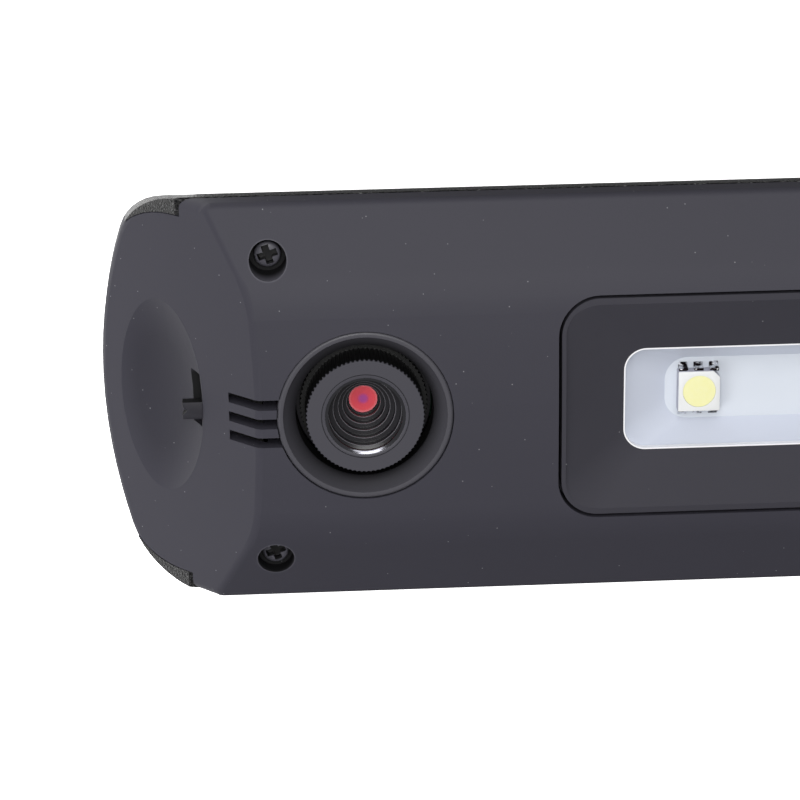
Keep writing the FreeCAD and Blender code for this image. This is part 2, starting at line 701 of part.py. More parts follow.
def bail_cuts():
    """The groove that the bail folds into, its pivot holes and a scoop to lift it out."""
    half = BAIL_WIRE_R + BAIL_CLEAR
    top = BAIL_Z + half
    start = BAIL_X - BAIL_REACH
    outer = BAIL_HALF + half
    inner = BAIL_HALF - half
    ring = rounded_block((start + BAIL_X) / 2, 0, BAIL_REACH / 2 + half, outer, BAIL_BEND_R + half, -1, top)
    island = box(start + half, BAIL_X + half, -inner, inner, -1, top)
    corner = box(BAIL_X - BAIL_BEND_R - half, BAIL_X + half, -outer, outer, -1, top)
    pivot = cross_bar(Vector(BAIL_X, 0, BAIL_Z), BAIL_HALF + BAIL_STUB, BAIL_WIRE_R + RUNNING_GAP)
    scoop = rounded_block(start + half, 0, half * 3, inner, half, -1, top)
    pivot = pivot.cut(box(-LENGTH, LENGTH, -inner, inner, -1, THICKNESS))
    return [fused([ring, corner]).cut(island), pivot, scoop]


def rear_cover(cavity):
    """The grained lower shell with its rims, bosses and posts."""
    outer = envelope(0.0)
    below = outer.cut(cavity).cut(above_seam())
    skin = below.cut([tongue(side, FIT) for side in (1, -1)])
    inside = fused(rear_cover_inside()).common(envelope(WALL / 2)).cut(above_seam())
    cover = fused([skin, inside])
    band = box(-LENGTH, LENGTH, -HALF_WIDTH * 2, HALF_WIDTH * 2, SEAM_Z - SEAM_GROOVE, SEAM_Z)
    cover = cover.cut(outer.common(band).cut(envelope(SEAM_GROOVE).common(band)))
    cuts = []
    cuts += [tube(x, y, CASE_HEAD_Z - CASE_SCREW_BITE, SEAM_Z, CASE_SHANK_R) for x, y in case_screw_places()]
    cuts += [tube(x, y, CAMERA_BOARD_Z - SMALL_BITE, SEAM_Z, SMALL_SHANK_R) for x, y in camera_screw_places()]
    cuts += [tube(x, y, switch_board_z() - SMALL_BITE, SEAM_Z, SMALL_SHANK_R) for x, y in switch_screw_places()]
    cuts += [tube(x, y, MAIN_BOARD_Z - SMALL_BITE, SEAM_Z, SMALL_SHANK_R) for x, y in main_screw_places()]
    cuts += [tube(x, 0, -1, MAGNET_SINK + MAGNET_THICK, MAGNET_R) for x in MAGNETS_X]
    return cover.cut(cuts + bail_cuts())


def case_screws():
    """Four cross recessed screws that hold the covers together."""
    return [cross_screw(x, y, CASE_HEAD_Z, CASE_HEAD_R, CASE_HEAD, CASE_SHANK_R, CASE_SCREW_BITE)
            for x, y in case_screw_places()]


# ---- Lamp window ----
def led_places():
    """Where the LEDs stand along the board."""
    return [WINDOW_X + (index - (LED_COUNT - 1) / 2) * LED_PITCH for index in range(LED_COUNT)]


def led_screw_places():
    """Screws at the LED board's corners."""
    reach = WINDOW_HALF_X + LED_BOARD_OVERHANG - LED_SCREW_INSET
    return [(WINDOW_X + sx * reach, sy * LED_SCREW_Y) for sx in (-1, 1) for sy in (-1, 1)]


def window_bezel():
    """The dished frame around the lamp window."""
    half_x = WINDOW_HALF_X + BEZEL_MARGIN_X
    frame = rounded_block(WINDOW_X, 0, half_x, BEZEL_HALF, BEZEL_R, BEZEL_BASE_Z, THICKNESS)
    frame = frame.common(envelope(BEZEL_SINK))
    mouth = (half_x - BEZEL_LIP, BEZEL_HALF - BEZEL_LIP, BEZEL_R - BEZEL_LIP)
    window = (WINDOW_HALF_X, WINDOW_HALF, WINDOW_R)
    mouth_z = THICKNESS - BEZEL_LIP_DEPTH
    dish = tapered_block(WINDOW_X, 0, window, mouth, WINDOW_Z, mouth_z)
    above = rounded_block(WINDOW_X, 0, *mouth, mouth_z, THICKNESS + 1)
    through = rounded_block(WINDOW_X, 0, *window, 0, THICKNESS)
    return frame.cut([fused([dish, above, through])])


def reflector_tray():
    """The white tray whose walls slope from the window down to the LED board."""
    def size(grow_x, grow_y, corner):
        return (WINDOW_HALF_X + grow_x, WINDOW_HALF + grow_y, corner)
    corner = WINDOW_R
    floor = (-TRAY_END_RUN, -TRAY_SLOPE_RUN)
    outside = tapered_block(WINDOW_X, 0, size(TRAY_WALL + floor[0], TRAY_WALL + floor[1], corner),
                            size(TRAY_WALL, TRAY_WALL, corner), TRAY_Z, BEZEL_BASE_Z)
    flange = rounded_block(WINDOW_X, 0, *size(TRAY_FLANGE, TRAY_FLANGE, corner + TRAY_FLANGE),
                           BEZEL_BASE_Z - TRAY_FLANGE_THICK, BEZEL_BASE_Z)
    inside = tapered_block(WINDOW_X, 0, size(*floor, corner), size(0, 0, corner), TRAY_Z, BEZEL_BASE_Z)
    return fused([outside, flange]).cut(inside)


def led_board():
    """The white faced board that carries the LEDs and closes the tray's bottom."""
    half_x = WINDOW_HALF_X + LED_BOARD_OVERHANG
    board = box(WINDOW_X - half_x, WINDOW_X + half_x, -LED_BOARD_HALF, LED_BOARD_HALF, LED_BOARD_Z, TRAY_Z)
    return board.cut([tube(x, y, 0, THICKNESS, SMALL_SHANK_R) for x, y in led_screw_places()])


def led_board_screws():
    """Small screws up into the front cover."""
    return [flipped(cross_screw(x, -y, LED_BOARD_Z, SMALL_HEAD_R, SMALL_HEAD, SMALL_SHANK_R,
                                SMALL_BITE + LED_BOARD_THICK), LED_BOARD_Z) for x, y in led_screw_places()]


def led_package(x):
    """A square white LED body with one cut corner and a round cup."""
    half = LED_SIZE / 2
    corners = [(-half, -half), (half, -half), (half, half - LED_CUT), (half - LED_CUT, half), (-half, half)]
    face = polygon_face([Vector(x + u, v, TRAY_Z) for u, v in corners])
    body = face.extrude(Vector(0, 0, LED_HEIGHT))
    return body.cut(tube(x, 0, TRAY_Z + LED_HEIGHT - PHOSPHOR_DEPTH, THICKNESS, PHOSPHOR_R))


def led_phosphor(x):
    """The yellow disc in an LED's cup."""
    top = TRAY_Z + LED_HEIGHT
    return tube(x, 0, top - PHOSPHOR_DEPTH, top - PHOSPHOR_SINK, PHOSPHOR_R)


def led_leads(x):
    """Three folded leads on each side of an LED."""
    leads = []
    half = LED_SIZE / 2
    for index in range(LEADS_PER_SIDE):
        lead_x = x + (index - (LEADS_PER_SIDE - 1) / 2) * LEAD_PITCH
        for side in (-1, 1):
            reach = sorted((side * half, side * (half + LEAD_REACH)))
            leads.append(box(lead_x - LEAD_WIDTH / 2, lead_x + LEAD_WIDTH / 2, *reach,
                             TRAY_Z, TRAY_Z + LEAD_HEIGHT))
    return leads


# ---- Lens ----
def ring_top_z():
    """Height of the focus ring's face."""
    return THICKNESS - RING_SINK


def ring_flange_z():
    """Underside of the focus ring's flange."""
    return COLLAR_Z


def holder_top_z():
    """Top of the lens holder's tube."""
    return ring_flange_z() - SIDE_GAP


def cell_top_z():
    """Top of the lens cell at rest."""
    return ring_top_z() - RING_TOP_THICK - CELL_TOP_DROP


def glass_top_z():
    """Seat of the front lens under the last baffle."""
    return cell_top_z() - BAFFLE_STEP * len(BAFFLE_R)


def cell_step_z():
    """Where the lens cell narrows to its tail."""
    return glass_top_z() - GLASS_THICK - SPACER_THICK / 2


def lens_surround():
    """The fixed trim ring whose face curves down around the focus ring."""
    lip_top = ring_flange_z() + RING_FLANGE + SIDE_GAP + SURROUND_LIP
    lip_low = lip_top - SURROUND_LIP
    edge_r = BORE_R - SURROUND_GROOVE
    groove_z = THICKNESS - SURROUND_DIP
    bowl_mid_r = (edge_r + SURROUND_THROAT_R) / 2 - SURROUND_DIP / 4
    bowl_mid_z = THICKNESS - SURROUND_DIP / 2

    def point(radius, z):
        return Vector(LENS_X + radius, 0, z)
    throat = point(SURROUND_THROAT_R, groove_z)
    edge = point(edge_r, THICKNESS)
    bowl = Part.Arc(throat, point(bowl_mid_r, bowl_mid_z + SURROUND_DIP / 6), edge).toShape()
    low_z = lip_low - RING_FLANGE
    corners = [edge, point(edge_r, groove_z), point(BORE_R, groove_z), point(BORE_R, low_z),
               point(RING_FLANGE_R + SIDE_GAP * 3, low_z), point(RING_FLANGE_R + SIDE_GAP * 3, lip_low),
               point(SURROUND_LIP_R, lip_low), point(SURROUND_LIP_R, lip_top),
               point(SURROUND_THROAT_R, lip_top), throat]
    edges = [bowl] + [Part.LineSegment(a, b).toShape() for a, b in zip(corners, corners[1:])]
    ring = face_of(edges).revolve(Vector(LENS_X, 0, 0), Vector(0, 0, 1), 360)
    return ring.common(envelope(SURROUND_SINK))


def toothed_bar(radius, depth, teeth, z0, z1):
    """An upright bar with fine triangular teeth around it, on the lens axis."""
    points = []
    for index in range(teeth * 2):
        turn = math.pi * index / teeth
        reach = radius - (depth if index % 2 else 0.0)
        points.append(Vector(LENS_X + reach * math.cos(turn), reach * math.sin(turn), z0))
    return polygon_face(points).extrude(Vector(0, 0, z1 - z0))


def focus_ring():
    """The knurled ring that is turned to focus."""
    top = ring_top_z()
    flange_top = ring_flange_z() + RING_FLANGE
    grip = toothed_bar(RING_R, TOOTH_DEPTH, RING_TEETH, flange_top, top)
    bevel = TOOTH_DEPTH * 1.5
    shape = turned([(0, flange_top), (RING_R, flange_top), (RING_R, top - bevel), (RING_R - bevel, top), (0, top)],
                   LENS_X, 0)
    flange = tube(LENS_X, 0, ring_flange_z(), flange_top, RING_FLANGE_R)
    tail = tube(LENS_X, 0, ring_flange_z() - RING_TAIL, flange_top, RING_TAIL_R)
    mouth = tube(LENS_X, 0, 0, THICKNESS, RING_MOUTH_R)
    bore = tube(LENS_X, 0, 0, top - RING_TOP_THICK, RING_BORE_R)
    return fused([grip.common(shape), flange, tail]).cut([mouth, bore])


def lens_cell():
    """The barrel that slides in the ring: a stepped baffle above and a lens bore below."""
    top = cell_top_z()
    body_r = RING_BORE_R - RUNNING_GAP
    step = cell_step_z()
    low = step - CELL_TAIL
    profile = [(GLASS_R, low), (CELL_TAIL_R, low), (CELL_TAIL_R, step), (body_r, step), (body_r, top)]
    z = top
    for radius in BAFFLE_R:
        profile.append((radius, z))
        z -= BAFFLE_STEP
        profile.append((radius, z))
    profile.append((GLASS_R, z))
    return turned(profile, LENS_X, 0)


def domed_disc(radius, z0, z1, dome):
    """A round lens with a flat back and a domed front whose edge is at z1 - dome."""
    centre = Vector(LENS_X, 0, z1)
    edge = Vector(LENS_X + radius, 0, z1 - dome)
    bulge = (radius ** 2 + dome ** 2) / (2 * dome)
    half = radius / 2
    mid = Vector(LENS_X + half, 0, z1 - bulge + math.sqrt(bulge ** 2 - half ** 2))
    edges = [Part.Arc(centre, mid, edge).toShape(),
             Part.LineSegment(edge, Vector(LENS_X + radius, 0, z0)).toShape(),
             Part.LineSegment(Vector(LENS_X + radius, 0, z0), Vector(LENS_X, 0, z0)).toShape(),
             Part.LineSegment(Vector(LENS_X, 0, z0), centre).toShape()]
    return face_of(edges).revolve(Vector(LENS_X, 0, 0), Vector(0, 0, 1), 360)


def lens_stack():
    """The pieces in the lens cell, from the front: glass, spacer, glass, retaining ring."""
    top = glass_top_z()
    spacer_top = top - GLASS_THICK
    rear_top = spacer_top - SPACER_THICK
    retainer_top = rear_top - GLASS_THICK
    return {
        "front_lens": domed_disc(GLASS_R, spacer_top, top, GLASS_DOME),
        "lens_spacer": tube(LENS_X, 0, rear_top, spacer_top, GLASS_R, GLASS_R - SPACER_WALL),
        "rear_lens": domed_disc(GLASS_R, retainer_top, rear_top, GLASS_DOME / 2),
        "lens_retainer": tube(LENS_X, 0, retainer_top - RETAINER_THICK, retainer_top, GLASS_R,
                              GLASS_R - SPACER_WALL),
    }


def camera_board_top():
    """Upper face of the camera board."""
    return CAMERA_BOARD_Z + BOARD_THICK


def lens_holder():
    """The mount that the ring turns in and the cell slides in, fixed to the camera board."""
    low = camera_board_top()
    bore_r = RING_TAIL_R + RUNNING_GAP
    base = box(LENS_X - HOLDER_BASE_HALF, LENS_X + HOLDER_BASE_HALF, -HOLDER_BASE_HALF, HOLDER_BASE_HALF,
               low, low + HOLDER_BASE)
    barrel = tube(LENS_X, 0, low, holder_top_z(), bore_r + HOLDER_WALL)
    floor_z = cell_step_z() - CELL_TRAVEL - SIDE_GAP
    bore = tube(LENS_X, 0, floor_z, THICKNESS, bore_r)
    guide = tube(LENS_X, 0, low, THICKNESS, CELL_TAIL_R + RUNNING_GAP)
    pocket_top = low + SENSOR_THICK + SIDE_GAP + FILTER_THICK
    pocket = box(LENS_X - SENSOR_POCKET_HALF, LENS_X + SENSOR_POCKET_HALF, -SENSOR_POCKET_HALF,
                 SENSOR_POCKET_HALF, low, pocket_top)
    return fused([base, barrel]).cut([bore, guide, pocket])


def ir_filter():
    """The thin glass over the sensor, glued into the holder's pocket."""
    low = camera_board_top() + SENSOR_THICK + SIDE_GAP
    half = SENSOR_POCKET_HALF
    return box(LENS_X - half, LENS_X + half, -half, half, low, low + FILTER_THICK)


def image_sensor():
    """The sensor chip under the lens."""
    low = camera_board_top()
    return box(LENS_X - SENSOR_HALF, LENS_X + SENSOR_HALF, -SENSOR_HALF, SENSOR_HALF, low, low + SENSOR_THICK)


def camera_screw_places():
    """Screws at the camera board's corners."""
    return [(LENS_X + sx * CAMERA_SCREW_X, sy * CAMERA_SCREW_Y) for sx in (-1, 1) for sy in (-1, 1)]


def camera_board():
    """The board that carries the sensor and the lens holder."""
    board = box(LENS_X - CAMERA_BOARD_HALF_X, LENS_X + CAMERA_BOARD_HALF_X, -CAMERA_BOARD_HALF_Y,
                CAMERA_BOARD_HALF_Y, CAMERA_BOARD_Z, camera_board_top())
    return board.cut([tube(x, y, 0, THICKNESS, SMALL_SHANK_R) for x, y in camera_screw_places()])


def small_screws(places, board_top, board_thick):
    """Small screws down through a board into posts."""
    return [cross_screw(x, y, board_top, SMALL_HEAD_R, SMALL_HEAD, SMALL_SHANK_R, SMALL_BITE + board_thick)
            for x, y in places]


# ---- Vents and slide switch ----
def vent_foam():
    """Black foam under the vent slots."""
    half = (VENT_COUNT - 1) / 2 * VENT_PITCH + VENT_WIDTH / 2 + FOAM_MARGIN
    block = box(LENS_X - VENT_START + FOAM_MARGIN / 2, LENS_X - COLLAR_R, VENT_Y - half, VENT_Y + half,
                FOAM_Z, THICKNESS)
    return block.common(envelope(WALL))


def slot_mid_z():
    """Middle height of the switch slot."""
    return SLOT_TOP_Z - SLOT_HEIGHT / 2


def switch_housing():
    """The slide switch's fixed body with the track for its stem."""
    face = LENS_X - SWITCH_FACE_FROM_LENS
    mid = slot_mid_z()
    body = box(face, face + SWITCH_DEPTH, SLOT_Y - SWITCH_HALF, SLOT_Y + SWITCH_HALF,
               mid - SWITCH_HEIGHT / 2, mid + SWITCH_HEIGHT / 2)
    track = box(face, face + SWITCH_TRACK_DEPTH, SLOT_Y - SLOT_HALF, SLOT_Y + SLOT_HALF,
                mid - STEM_HEIGHT / 2 - KNOB_GAP, mid + STEM_HEIGHT / 2 + KNOB_GAP)
    return body.cut(track)


def switch_knob():
    """The knob that shows in the dish and its stem in the switch."""
    tip = LENS_X - KNOB_TIP_FROM_LENS
    face = LENS_X - SWITCH_FACE_FROM_LENS
    mid = slot_mid_z()
    half = KNOB_WIDTH / 2
    head = box(tip, face - KNOB_GAP, KNOB_Y - half, KNOB_Y + half, SLOT_TOP_Z - SLOT_HEIGHT + KNOB_GAP,
               SLOT_TOP_Z - KNOB_GAP)
    stem = box(face - KNOB_GAP, face + STEM_REACH, KNOB_Y - half, KNOB_Y + half, mid - STEM_HEIGHT / 2,
               mid + STEM_HEIGHT / 2)
    notch = polygon_face([Vector(tip, KNOB_Y - KNOB_NOTCH, 0), Vector(tip + KNOB_NOTCH, KNOB_Y, 0),
                          Vector(tip, KNOB_Y + KNOB_NOTCH, 0)]).extrude(Vector(0, 0, THICKNESS))
    return fused([head, stem]).cut(notch)


def switch_board_z():
    """Underside of the switch board."""
    return slot_mid_z() - SWITCH_HEIGHT / 2 - BOARD_THICK


def switch_screw_places():
    """Two screws that hold the switch board."""
    return [(LENS_X - SWITCH_SCREW_FROM_LENS, sy * SWITCH_SCREW_Y) for sy in (-1, 1)]


def switch_board():
    """The small board under the slide switch."""
    low = switch_board_z()
    board = box(LENS_X - SWITCH_BOARD_EDGE, LENS_X - SWITCH_BOARD_BACK, -SWITCH_BOARD_HALF, SWITCH_BOARD_HALF,
                low, low + BOARD_THICK)
    return board.cut([tube(x, y, 0, THICKNESS, SMALL_SHANK_R) for x, y in switch_screw_places()])


# ---- Grip end ----
def main_board_top():
    """Upper face of the main board."""
    return MAIN_BOARD_Z + MAIN_BOARD_THICK


def main_screw_places():
    """Screws at the main board's corners."""
    ends = (MAIN_BOARD_X + MAIN_SCREW_INSET, MAIN_BOARD_X + MAIN_BOARD_LENGTH - MAIN_SCREW_INSET)
    return [(x, sy * (MAIN_BOARD_HALF - MAIN_SCREW_INSET)) for x in ends for sy in (-1, 1)]


def main_board():
    """The driver and charging board."""
    board = box(MAIN_BOARD_X, MAIN_BOARD_X + MAIN_BOARD_LENGTH, -MAIN_BOARD_HALF, MAIN_BOARD_HALF,
                MAIN_BOARD_Z, main_board_top())
    return board.cut([tube(x, y, 0, THICKNESS, SMALL_SHANK_R) for x, y in main_screw_places()])


def board_chips():
    """Driver chip, charger chip and the indicator LED under the light pipe."""
    top = main_board_top()
    driver_x = BUTTON_X + DRIVER_FROM_BUTTON
    charger_x = PIPE_X + CHARGER_FROM_PIPE
    driver = box(driver_x, driver_x + DRIVER_SIZE, DRIVER_Y, DRIVER_Y + DRIVER_SIZE, top, top + DRIVER_HEIGHT)
    charger = box(charger_x, charger_x + CHARGER_SIZE, CHARGER_Y, CHARGER_Y + CHARGER_SIZE,
                  top, top + CHARGER_HEIGHT)
    indicator = box(PIPE_X - INDICATOR_HALF_X, PIPE_X + INDICATOR_HALF_X, -INDICATOR_HALF_Y, INDICATOR_HALF_Y,
                    top, top + INDICATOR_HEIGHT)
    return [driver, charger, indicator]


def tact_switch():
    """The push switch under the power button."""
    top = main_board_top()
    body = box(BUTTON_X - TACT_HALF, BUTTON_X + TACT_HALF, -TACT_HALF, TACT_HALF, top, top + TACT_HEIGHT)
    return body.cut(tube(BUTTON_X, 0, top + TACT_HEIGHT - PLUNGER_ROOM * 2, THICKNESS, PLUNGER_R + RUNNING_GAP))


def plunger_top_z():
    """Top of the push switch's plunger at rest."""
    return main_board_top() + TACT_HEIGHT + PLUNGER_RISE


def tact_plunger():
    """The push switch's plunger, which the button rests on."""
    return tube(BUTTON_X, 0, main_board_top() + TACT_HEIGHT - PLUNGER_ROOM, plunger_top_z(), PLUNGER_R)


def power_button():
    """The pill shaped button with its flange and stem."""
    top = THICKNESS + BUTTON_PROUD
    flange_top = INSIDE_Z - BUTTON_GAP
    flange_low = flange_top - BUTTON_FLANGE_THICK
    cap = rounded_block(BUTTON_X, 0, BUTTON_HALF_X, BUTTON_HALF_Y, BUTTON_HALF_Y - 0.1, flange_low, top)
    flange = rounded_block(BUTTON_X, 0, BUTTON_HALF_X + BUTTON_FLANGE, BUTTON_HALF_Y + BUTTON_FLANGE,
                           BUTTON_HALF_Y + BUTTON_FLANGE - 0.1, flange_low, flange_top)
    stem = tube(BUTTON_X, 0, plunger_top_z(), flange_low, BUTTON_STEM_R)
    hollow_r = (BUTTON_HALF_Y ** 2 + BUTTON_DISH ** 2) / (2 * BUTTON_DISH)
    hollow_start = Vector(BUTTON_X - BUTTON_HALF_X, 0, top - BUTTON_DISH + hollow_r)
    hollow = Part.makeCylinder(hollow_r, BUTTON_HALF_X * 2, hollow_start, Vector(1, 0, 0))
    return fused([cap, flange, stem]).cut(hollow)


def light_pipe():
    """The clear rod that shows the charge light."""
    low = main_board_top() + INDICATOR_HEIGHT + PIPE_GAP
    rod = tube(PIPE_X, 0, low, THICKNESS, PIPE_R)
    flange = tube(PIPE_X, 0, INSIDE_Z - PIPE_FLANGE, INSIDE_Z, PIPE_FLANGE_R)
    return fused([rod, flange])


def usb_flap():
    """The hinged flap over the charging socket."""
    pin = flap_pin_centre()
    plate = box(-FLAP_HALF_X, FLAP_HALF_X, -FLAP_HALF_Y, FLAP_HALF_Y, -FLAP_THICK - FLAP_SINK, -FLAP_SINK)
    knuckle = cross_bar(pin, FLAP_HALF_Y, KNUCKLE_R)
    bore = cross_bar(pin, FLAP_HALF_Y, PIN_R + RUNNING_GAP)
    nail_start = Vector(FLAP_HALF_X + NAIL_R / 2, 0, -FLAP_SINK - FLAP_THICK / 2)
    nail = Part.makeCylinder(NAIL_R, FLAP_THICK / 2, nail_start)
    return on_flap_slope(fused([plate, knuckle]).cut([bore, nail]))


def flap_pin():
    """The steel pin that the flap turns on."""
    return on_flap_slope(cross_bar(flap_pin_centre(), FLAP_HALF_Y + PIN_GRIP, PIN_R))


def flap_seal():
    """The rubber pad under the flap that plugs the socket's mouth."""
    top = -FLAP_THICK - FLAP_SINK
    return on_flap_slope(box(-SEAL_HALF_X, SEAL_HALF_X, -SEAL_HALF_Y, SEAL_HALF_Y, top - SEAL_THICK, top))


def usb_socket():
    """The charging socket's metal shell with its tongue."""
    low = -USB_TOP - USB_LENGTH
    shell = rounded_block(0, 0, USB_HALF_X, USB_HALF_Y, USB_HALF_X - 0.05, low, -USB_TOP)
    hollow = rounded_block(0, 0, USB_HALF_X - USB_SHELL, USB_HALF_Y - USB_SHELL, USB_HALF_X - USB_SHELL - 0.05,
                           low + USB_SHELL * 2, -USB_TOP)
    tongue_bar = box(-USB_SHELL, USB_SHELL, -USB_HALF_Y / 1.5, USB_HALF_Y / 1.5, low, -USB_TOP - USB_SHELL * 2)
    return on_flap_slope(fused([shell.cut(hollow), tongue_bar]))


def charge_board():
    """The small board behind the charging socket."""
    top = -USB_TOP - USB_LENGTH
    return on_flap_slope(box(-CHARGE_BOARD_UP, CHARGE_BOARD_DOWN, -CHARGE_BOARD_HALF, CHARGE_BOARD_HALF,
                             top - BOARD_THICK, top))


# ---- Battery, cables, magnets, bail ----
def battery_cell():
    """The flat rechargeable cell."""
    return rounded_block(BATTERY_X + BATTERY_LENGTH / 2, 0, BATTERY_LENGTH / 2, BATTERY_HALF, 2.0,
                         WALL + PAD_THICK, WALL + PAD_THICK + BATTERY_THICK)


def battery_pads():
    """Foam pads under both ends of the cell."""
    starts = (BATTERY_X + PAD_INSET, BATTERY_X + BATTERY_LENGTH - PAD_INSET - PAD_LENGTH)
    return [box(x, x + PAD_LENGTH, -PAD_HALF, PAD_HALF, WALL, WALL + PAD_THICK) for x in starts]


def battery_plug():
    """The connector of the battery's wires under the main board."""
    return box(MAIN_BOARD_X, MAIN_BOARD_X + PLUG_LENGTH, -PLUG_HALF, PLUG_HALF, MAIN_BOARD_Z - PLUG_HEIGHT,
               MAIN_BOARD_Z)


def battery_wires():
    """Two wires from the cell to its connector."""
    start = BATTERY_X + BATTERY_LENGTH
    z = MAIN_BOARD_Z - WIRE_DROP
    return [Part.makeCylinder(WIRE_R, MAIN_BOARD_X - start, Vector(start, y, z), Vector(1, 0, 0))
            for y in (-WIRE_Y, WIRE_Y)]


def led_wires():
    """Two wires from the LED board down to the main board."""
    wires = []
    for y in (-LED_WIRE_Y, LED_WIRE_Y):
        start = Vector(WINDOW_X + WINDOW_HALF_X, y, LED_BOARD_Z - WIRE_R)
        end = Vector(MAIN_BOARD_X + MAIN_SCREW_INSET, y, main_board_top() + WIRE_R)
        run = end - start
        wires.append(Part.makeCylinder(WIRE_R, run.Length, start, run))
    return wires


def camera_ribbon():
    """The flat cable from the camera board over the cell to the main board."""
    start = LENS_X + CAMERA_BOARD_HALF_X
    route = [(start - RIBBON_CAMERA_LAP, camera_board_top()), (start, camera_board_top()),
             (start + RIBBON_CLIMB, RIBBON_Z), (MAIN_BOARD_X - RIBBON_DROP, RIBBON_Z),
             (MAIN_BOARD_X, main_board_top()), (MAIN_BOARD_X + RIBBON_MAIN_LAP, main_board_top())]
    lower = [Vector(x, -RIBBON_HALF, z) for x, z in route]
    upper = [point + Vector(0, 0, RIBBON_THICK) for point in reversed(lower)]
    return polygon_face(lower + upper).extrude(Vector(0, RIBBON_HALF * 2, 0))


def magnets():
    """Two round magnets let into the flat back."""
    return [tube(x, 0, MAGNET_SINK, MAGNET_SINK + MAGNET_THICK, MAGNET_R) for x in MAGNETS_X]


def hang_bail():
    """The bent wire that swings out of the back to hang the light."""
    start = BAIL_X - BAIL_REACH
    bend_x = start + BAIL_BEND_R
    bend_y = BAIL_HALF - BAIL_BEND_R
    pieces = [cross_bar(Vector(start, 0, BAIL_Z), bend_y, BAIL_WIRE_R)]
    for side in (-1, 1):
        leg = Vector(bend_x, side * BAIL_HALF, BAIL_Z)
        pieces.append(Part.makeCylinder(BAIL_WIRE_R, BAIL_X - bend_x, leg, Vector(1, 0, 0)))
        section = Part.Face(Part.Wire(Part.makeCircle(BAIL_WIRE_R, leg, Vector(1, 0, 0))))
        pieces.append(section.revolve(Vector(bend_x, side * bend_y, BAIL_Z), Vector(0, 0, 1), side * 90))
        knee = Vector(BAIL_X, side * BAIL_HALF, BAIL_Z)
        pieces.append(Part.makeSphere(BAIL_WIRE_R, knee))
        pieces.append(Part.makeCylinder(BAIL_WIRE_R, BAIL_STUB, knee, Vector(0, side, 0)))
    return fused(pieces)


# ---- Everything ----
def build_nodes():
    """Every sub-part by name; a list stands for separate solids in one node."""
    cavity = envelope(WALL)
    leds = led_places()
    nodes = {
        "front_cover": front_cover(cavity),
        "rear_cover": rear_cover(cavity),
        "case_screws": case_screws(),
        "window_bezel": window_bezel(),
        "reflector_tray": reflector_tray(),
        "led_board": led_board(),
        "led_board_screws": led_board_screws(),
        "led_packages": [led_package(x) for x in leds],
        "led_phosphors": [led_phosphor(x) for x in leds],
        "led_leads": [lead for x in leds for lead in led_leads(x)],
        "lens_surround": lens_surround(),
        "focus_ring": focus_ring(),
        "lens_cell": lens_cell(),
        "lens_holder": lens_holder(),
        "ir_filter": ir_filter(),
        "image_sensor": image_sensor(),
        "camera_board": camera_board(),
        "camera_screws": small_screws(camera_screw_places(), camera_board_top(), BOARD_THICK),
        "vent_foam": vent_foam(),
        "switch_housing": switch_housing(),
        "switch_knob": switch_knob(),
        "switch_board": switch_board(),
        "switch_screws": small_screws(switch_screw_places(), switch_board_z() + BOARD_THICK, BOARD_THICK),
        "main_board": main_board(),
        "main_screws": small_screws(main_screw_places(), main_board_top(), MAIN_BOARD_THICK),
        "board_chips": board_chips(),
        "tact_switch": tact_switch(),
        "tact_plunger": tact_plunger(),
        "power_button": power_button(),
        "light_pipe": light_pipe(),
        "usb_flap": usb_flap(),
        "flap_pin": flap_pin(),
        "flap_seal": flap_seal(),
        "usb_socket": usb_socket(),
        "charge_board": charge_board(),
        "battery_cell": battery_cell(),
        "battery_pads": battery_pads(),
        "battery_plug": battery_plug(),
        "battery_wires": battery_wires(),
        "led_wires": led_wires(),
        "camera_ribbon": camera_ribbon(),
        "magnets": magnets(),
        "hang_bail": hang_bail(),
    }
    nodes.update(lens_stack())
    return nodes


def write_nodes(nodes):
    """One STEP file for each node."""
    os.makedirs("parts", exist_ok=True)
    for name, shape in nodes.items():
        if isinstance(shape, list):
            shape = Part.makeCompound(shape)
        shape.exportStep(os.path.join("parts", name + ".step"))
        print(name, len(shape.Solids), round(shape.Volume, 2), shape.isValid())


write_nodes(build_nodes())
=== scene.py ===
"""The looks of a slim LED work light with a focusing inspection lens at one end."""
import logging
import math
from dataclasses import dataclass, replace
from enum import Enum
from typing import Mapping, Sequence

import bmesh
import bpy
from mathutils import Matrix, Vector


